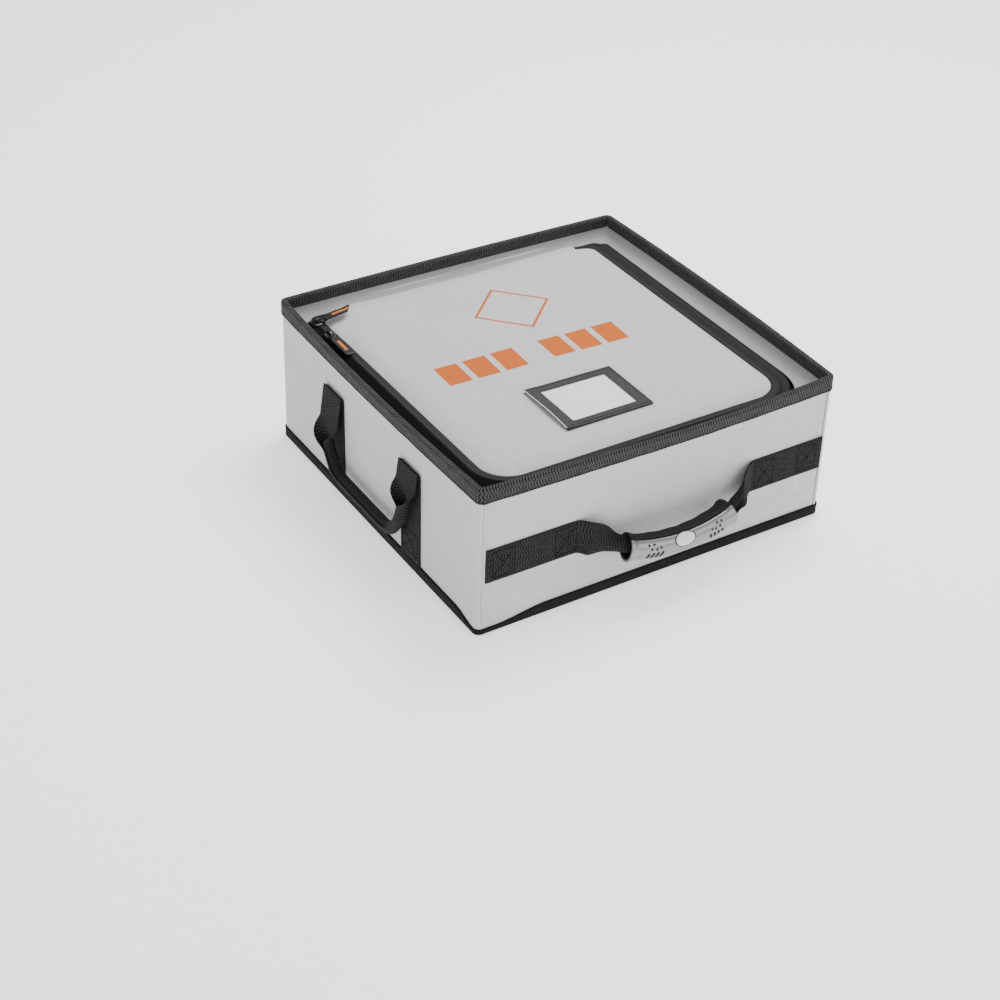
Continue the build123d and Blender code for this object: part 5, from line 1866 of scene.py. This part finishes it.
def inlay(name, x0, angle0, half_x, half_s, turn, proud, material, slot, square, *replaced):
    """A small raised patch on the grip's outside, given by its place along and round it."""
    rings = [(1.0, -0.5 * MM), (1.0, proud * 0.55), (0.93, proud * 0.92), (0.75, proud),
             (0.4, proud * 1.02), (0.05, proud * 1.02)]
    t = np.linspace(0, 2 * math.pi, 33)[:-1]
    c, s = np.cos(t), np.sin(t)
    px, ps = half_x * np.sign(c) * np.abs(c) ** square, half_s * np.sign(s) * np.abs(s) ** square
    P = []
    for scale, h in rings:
        row = []
        for a, b in zip(px * scale, ps * scale):
            x = x0 + a * math.cos(turn) - b * math.sin(turn)
            arc = a * math.sin(turn) + b * math.cos(turn)
            angle = angle0 + arc / (13.3 * MM)
            centre, o, u = grip_frame(x)
            row.append(centre + (o * math.cos(angle) + u * math.sin(angle)) * (grip_radius(x, angle) + h))
        P.append(row)
    obj = surface(name, P, material, closed_v=True, caps=True)
    return finish_piece(obj, "front_handle", slot, *replaced)


BADGE = math.radians(74.0)
BADGE_X = -2.0 * MM
SLOT_DOWN = 0.84
inlay("grip_badge_rim", BADGE_X, BADGE, 12.2 * MM, 8.0 * MM, 0.0, 0.25 * MM, MATERIAL["dark"], "grip_dark",
      1.0)
inlay("grip_badge_oval", BADGE_X, BADGE, 11 * MM, 7 * MM, 0.0, 0.6 * MM, MATERIAL["badge"], "badge_pale",
      1.0,
      "grip_badge")
DOT_R = 1.3 * MM
DOTS = [(43.0, 0.16), (37.5, 0.20), (40.0, -0.16), (34.5, -0.20), (30.0, -0.10)]
for sign in (-1, 1):
    tag = "left" if sign < 0 else "right"
    for k, (x, up) in enumerate(DOTS):
        inlay(f"grip_dot_{tag}_{k}", sign * x * MM, BADGE - 0.10 + up, DOT_R, DOT_R, 0.0, 0.22 * MM,
              MATERIAL["dark"], "grip_dark", 1.0)
    for k in range(4):
        slot_x, slot_half = sign * (28.5 + 4.8 * k) * MM, 4.7 * MM - 0.3 * k * MM
        inlay(f"grip_slot_{tag}_{k}", slot_x, BADGE - SLOT_DOWN, 1.5 * MM, slot_half, sign * 0.30,
              0.22 * MM,
              MATERIAL["dark"], "grip_dark", 0.75)


# ---------------------------------------------------------------- side handles
LOOP_Z = JOINTS["left_handle_hinge"]["pos_m"][2]
AXIS_X = abs(JOINTS["left_handle_hinge"]["pos_m"][0])
LEG_Y = 79.0 * MM
LEG_BOX_Z = (34 * MM, 100 * MM)
TUBE_X = WALL_X + 12.0 * MM
TUBE_Z = 37.0 * MM
KNEE_Z = TUBE_Z + 31.0 * MM
LEVEL_Y = LEG_Y - 21.0 * MM


def side_legs(tag, sign):
    """The two sewn legs of a side handle."""
    for near, y0 in (("near", -LEG_Y), ("far", LEG_Y)):
        z = np.linspace(13.2 * MM, LOOP_Z - 1.4 * MM, 170)
        x = np.full_like(z, WALL_X + 0.95 * MM)
        x = x + 0.25 * MM * (1 + ripple(z, 111 + int(sign) + (5 if near == "near" else 0), 4, 10, 40))
        line = np.column_stack([sign * x, np.full_like(z, y0), z])
        curl = smooth((z - (LOOP_Z - 0.006)) / 0.006)
        line = warp(line)
        line[:, 0] += sign * 0.6 * MM * curl
        across = np.repeat([[0.0, 1.0, 0.0]], len(z), 0)
        out = np.repeat([[float(sign), 0.0, 0.0]], len(z), 0)
        obj = web_strip(f"{tag}_leg_{near}", line, across, out, np.zeros(len(z)), s_count=21)
        sheet_piece(obj, "root", "webbing_black", (2 * WEB_HALF, LOOP_Z - 0.013), "stretched",
                    [f"canvas_{tag}"],
                    *([f"{tag}_handle_legs"] if near == "near" else []))
        for k, height in enumerate(LEG_BOX_Z):
            centre = (sign * (WALL_X + 2.35 * MM), y0, height)
            box_stitch(f"{tag}_leg_{near}_box_{k}", centre, (30 * MM, 26 * MM), (0, 1, 0), (0, 0, 1),
                       (sign, 0, 0))


def loop_line(sign):
    """The loop's line from its near top fold, down, along the bottom and up to its far fold."""
    turns = np.array([[AXIS_X, -LEG_Y, LOOP_Z], [TUBE_X, -LEG_Y, KNEE_Z], [TUBE_X, -LEVEL_Y, TUBE_Z],
                      [TUBE_X, LEVEL_Y, TUBE_Z]])
    steps = (79, 50, 110)
    half = np.concatenate([a + (b - a) * (np.arange(count) / count)[:, None]
                           for a, b, count in zip(turns, turns[1:], steps)])
    back = half[:steps[0] + steps[1]][::-1] * [1, -1, 1]
    line = np.concatenate([half, back])
    fixed = line.copy()
    for _ in range(180):
        line[1:-1] = (line[:-2] + 2 * line[1:-1] + line[2:]) / 4
    line[:8] = fixed[:8]
    line[-8:] = fixed[-8:]
    return line * [sign, 1, 1]


def loop_piece(tag, sign):
    """The hanging loop of a side handle, rolled up along its bottom."""
    line = loop_line(sign)
    n = len(line)
    tang = unit(np.gradient(line, axis=0))
    out = np.repeat([[float(sign), 0.0, 0.0]], n, 0)
    out -= tang * np.sum(out * tang, axis=1, keepdims=True)
    out /= np.linalg.norm(out, axis=1, keepdims=True)
    across = np.cross(out, tang)
    i = np.arange(n)
    near_fold = smooth((i - 26) / 48.0)
    far_fold = smooth((n - 1 - i - 48) / 50.0)
    folds = np.minimum(near_fold, far_fold)
    obj = web_strip(f"{tag}_loop_webbing", line, across, out, folds * 0.93, seed=5)
    length = run_length(line)
    return sheet_piece(obj, f"{tag}_handle", "webbing_black", (2 * WEB_HALF, length), "hung",
                       [f"{tag}_leg_near", f"{tag}_leg_far"],
                       f"{tag}_handle_loop")


for tag, sign in (("left", -1), ("right", 1)):
    side_legs(tag, sign)
    loop_piece(tag, sign)

# ---------------------------------------------------------------- materials of the CAD parts
SLOT_LOOK = {"canvas_grey": "canvas", "lining_grey": "lining", "stiffener_board": "board",
             "pad_foam": "foam",
             "binding_tape": "rim", "seam_piping": "piping", "webbing_black": "webbing",
             "zip_tape": "tape", "zip_coil": "coil",
             "slider_metal": "lacquer", "puller_rubber": "tab", "grip_silver": "silver",
             "grip_dark": "dark",
             "badge_pale": "badge", "label_border": "border", "window_film": "film", "card_white": "card"}
for entry in frame["record"]["subparts"]:
    node = frame["nodes"].get(entry["node"])
    if node is not None and node.type == "MESH":
        node.data.materials.clear()
        node.data.materials.append(MATERIAL[SLOT_LOOK[entry["material_slot"]]])

# ---------------------------------------------------------------- floor, light and camera
FLOOR_HALF = 8.0
FLOOR_Z = -0.5 * MM
FLOOR_GLOW = 0.9
WORLD_STRENGTH = 0.72
floor_corners = [(x * FLOOR_HALF, y * FLOOR_HALF, FLOOR_Z) for x, y in ((-1, -1), (1, -1), (1, 1), (-1, 1))]
floor_mesh = bpy.data.meshes.new("floor")
floor_mesh.from_pydata(floor_corners, [], [(0, 1, 2, 3)])
floor = bpy.data.objects.new("floor", floor_mesh)
bpy.context.scene.collection.objects.link(floor)
pale = Nodes("pale_floor")
n_floor = pale.noise(pale.object_coords(), 3.0)
pale.put(pale.shader.inputs["Base Color"], pale.mix(n_floor, (0.93, 0.93, 0.93), (0.95, 0.95, 0.95)))
pale.shader.inputs["Roughness"].default_value = 0.9
pale.put(pale.shader.inputs["Emission Color"], pale.mix(n_floor, (1.0, 1.0, 1.0), (0.98, 0.98, 0.98)))
pale.shader.inputs["Emission Strength"].default_value = FLOOR_GLOW
floor_mesh.materials.append(pale.material)
floor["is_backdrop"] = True


def area_light(name, place, target, size, power):
    """A rectangular light that faces the target."""
    data = bpy.data.lights.new(name, "AREA")
    data.shape, data.size, data.size_y, data.energy = "RECTANGLE", size[0], size[1], power
    lamp = bpy.data.objects.new(name, data)
    bpy.context.scene.collection.objects.link(lamp)
    lamp.location = place
    aim = Vector(target) - Vector(place)
    lamp.rotation_euler = aim.to_track_quat("-Z", "Y").to_euler()
    return lamp


area_light("key", (0.9, 0.5, 2.3), (0, 0, 0.05), (1.2, 1.2), 66)
area_light("front_fill", (0.9, -2.4, 1.2), (0, 0, 0.08), (2.0, 1.4), 22)
area_light("left_fill", (-2.4, -0.7, 1.3), (0, 0, 0.08), (1.8, 1.4), 12)

world = bpy.data.worlds.new("studio")
world.use_nodes = True
world.node_tree.nodes["Background"].inputs[0].default_value = (1, 1, 1, 1)
world.node_tree.nodes["Background"].inputs[1].default_value = WORLD_STRENGTH
bpy.context.scene.world = world

AZ, EL, ROLL = (math.radians(angle) for angle in (-34.1495, 32.1077, 2.7425))
DISTANCE = 2.13607
TARGET = np.array([0, 0, 0.085])
cam_data = bpy.data.cameras.new("photo_view")
cam_data.sensor_width, cam_data.lens = 36.0, 72.62
cam_data.shift_x, cam_data.shift_y = -0.0485, -0.0945
cam = bpy.data.objects.new("photo_view", cam_data)
bpy.context.scene.collection.objects.link(cam)
back_dir = np.array([math.sin(AZ) * math.cos(EL), -math.cos(AZ) * math.cos(EL), math.sin(EL)])
right = np.array([math.cos(AZ), math.sin(AZ), 0.0])
up_dir = np.cross(back_dir, right)
cam_right = math.cos(ROLL) * right + math.sin(ROLL) * up_dir
cam_up = -math.sin(ROLL) * right + math.cos(ROLL) * up_dir
place = TARGET + back_dir * DISTANCE
cam.matrix_world = Matrix([[cam_right[k], cam_up[k], back_dir[k], place[k]] for k in range(3)]
                             + [[0, 0, 0, 1]])
bpy.context.scene.camera = cam

low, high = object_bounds()
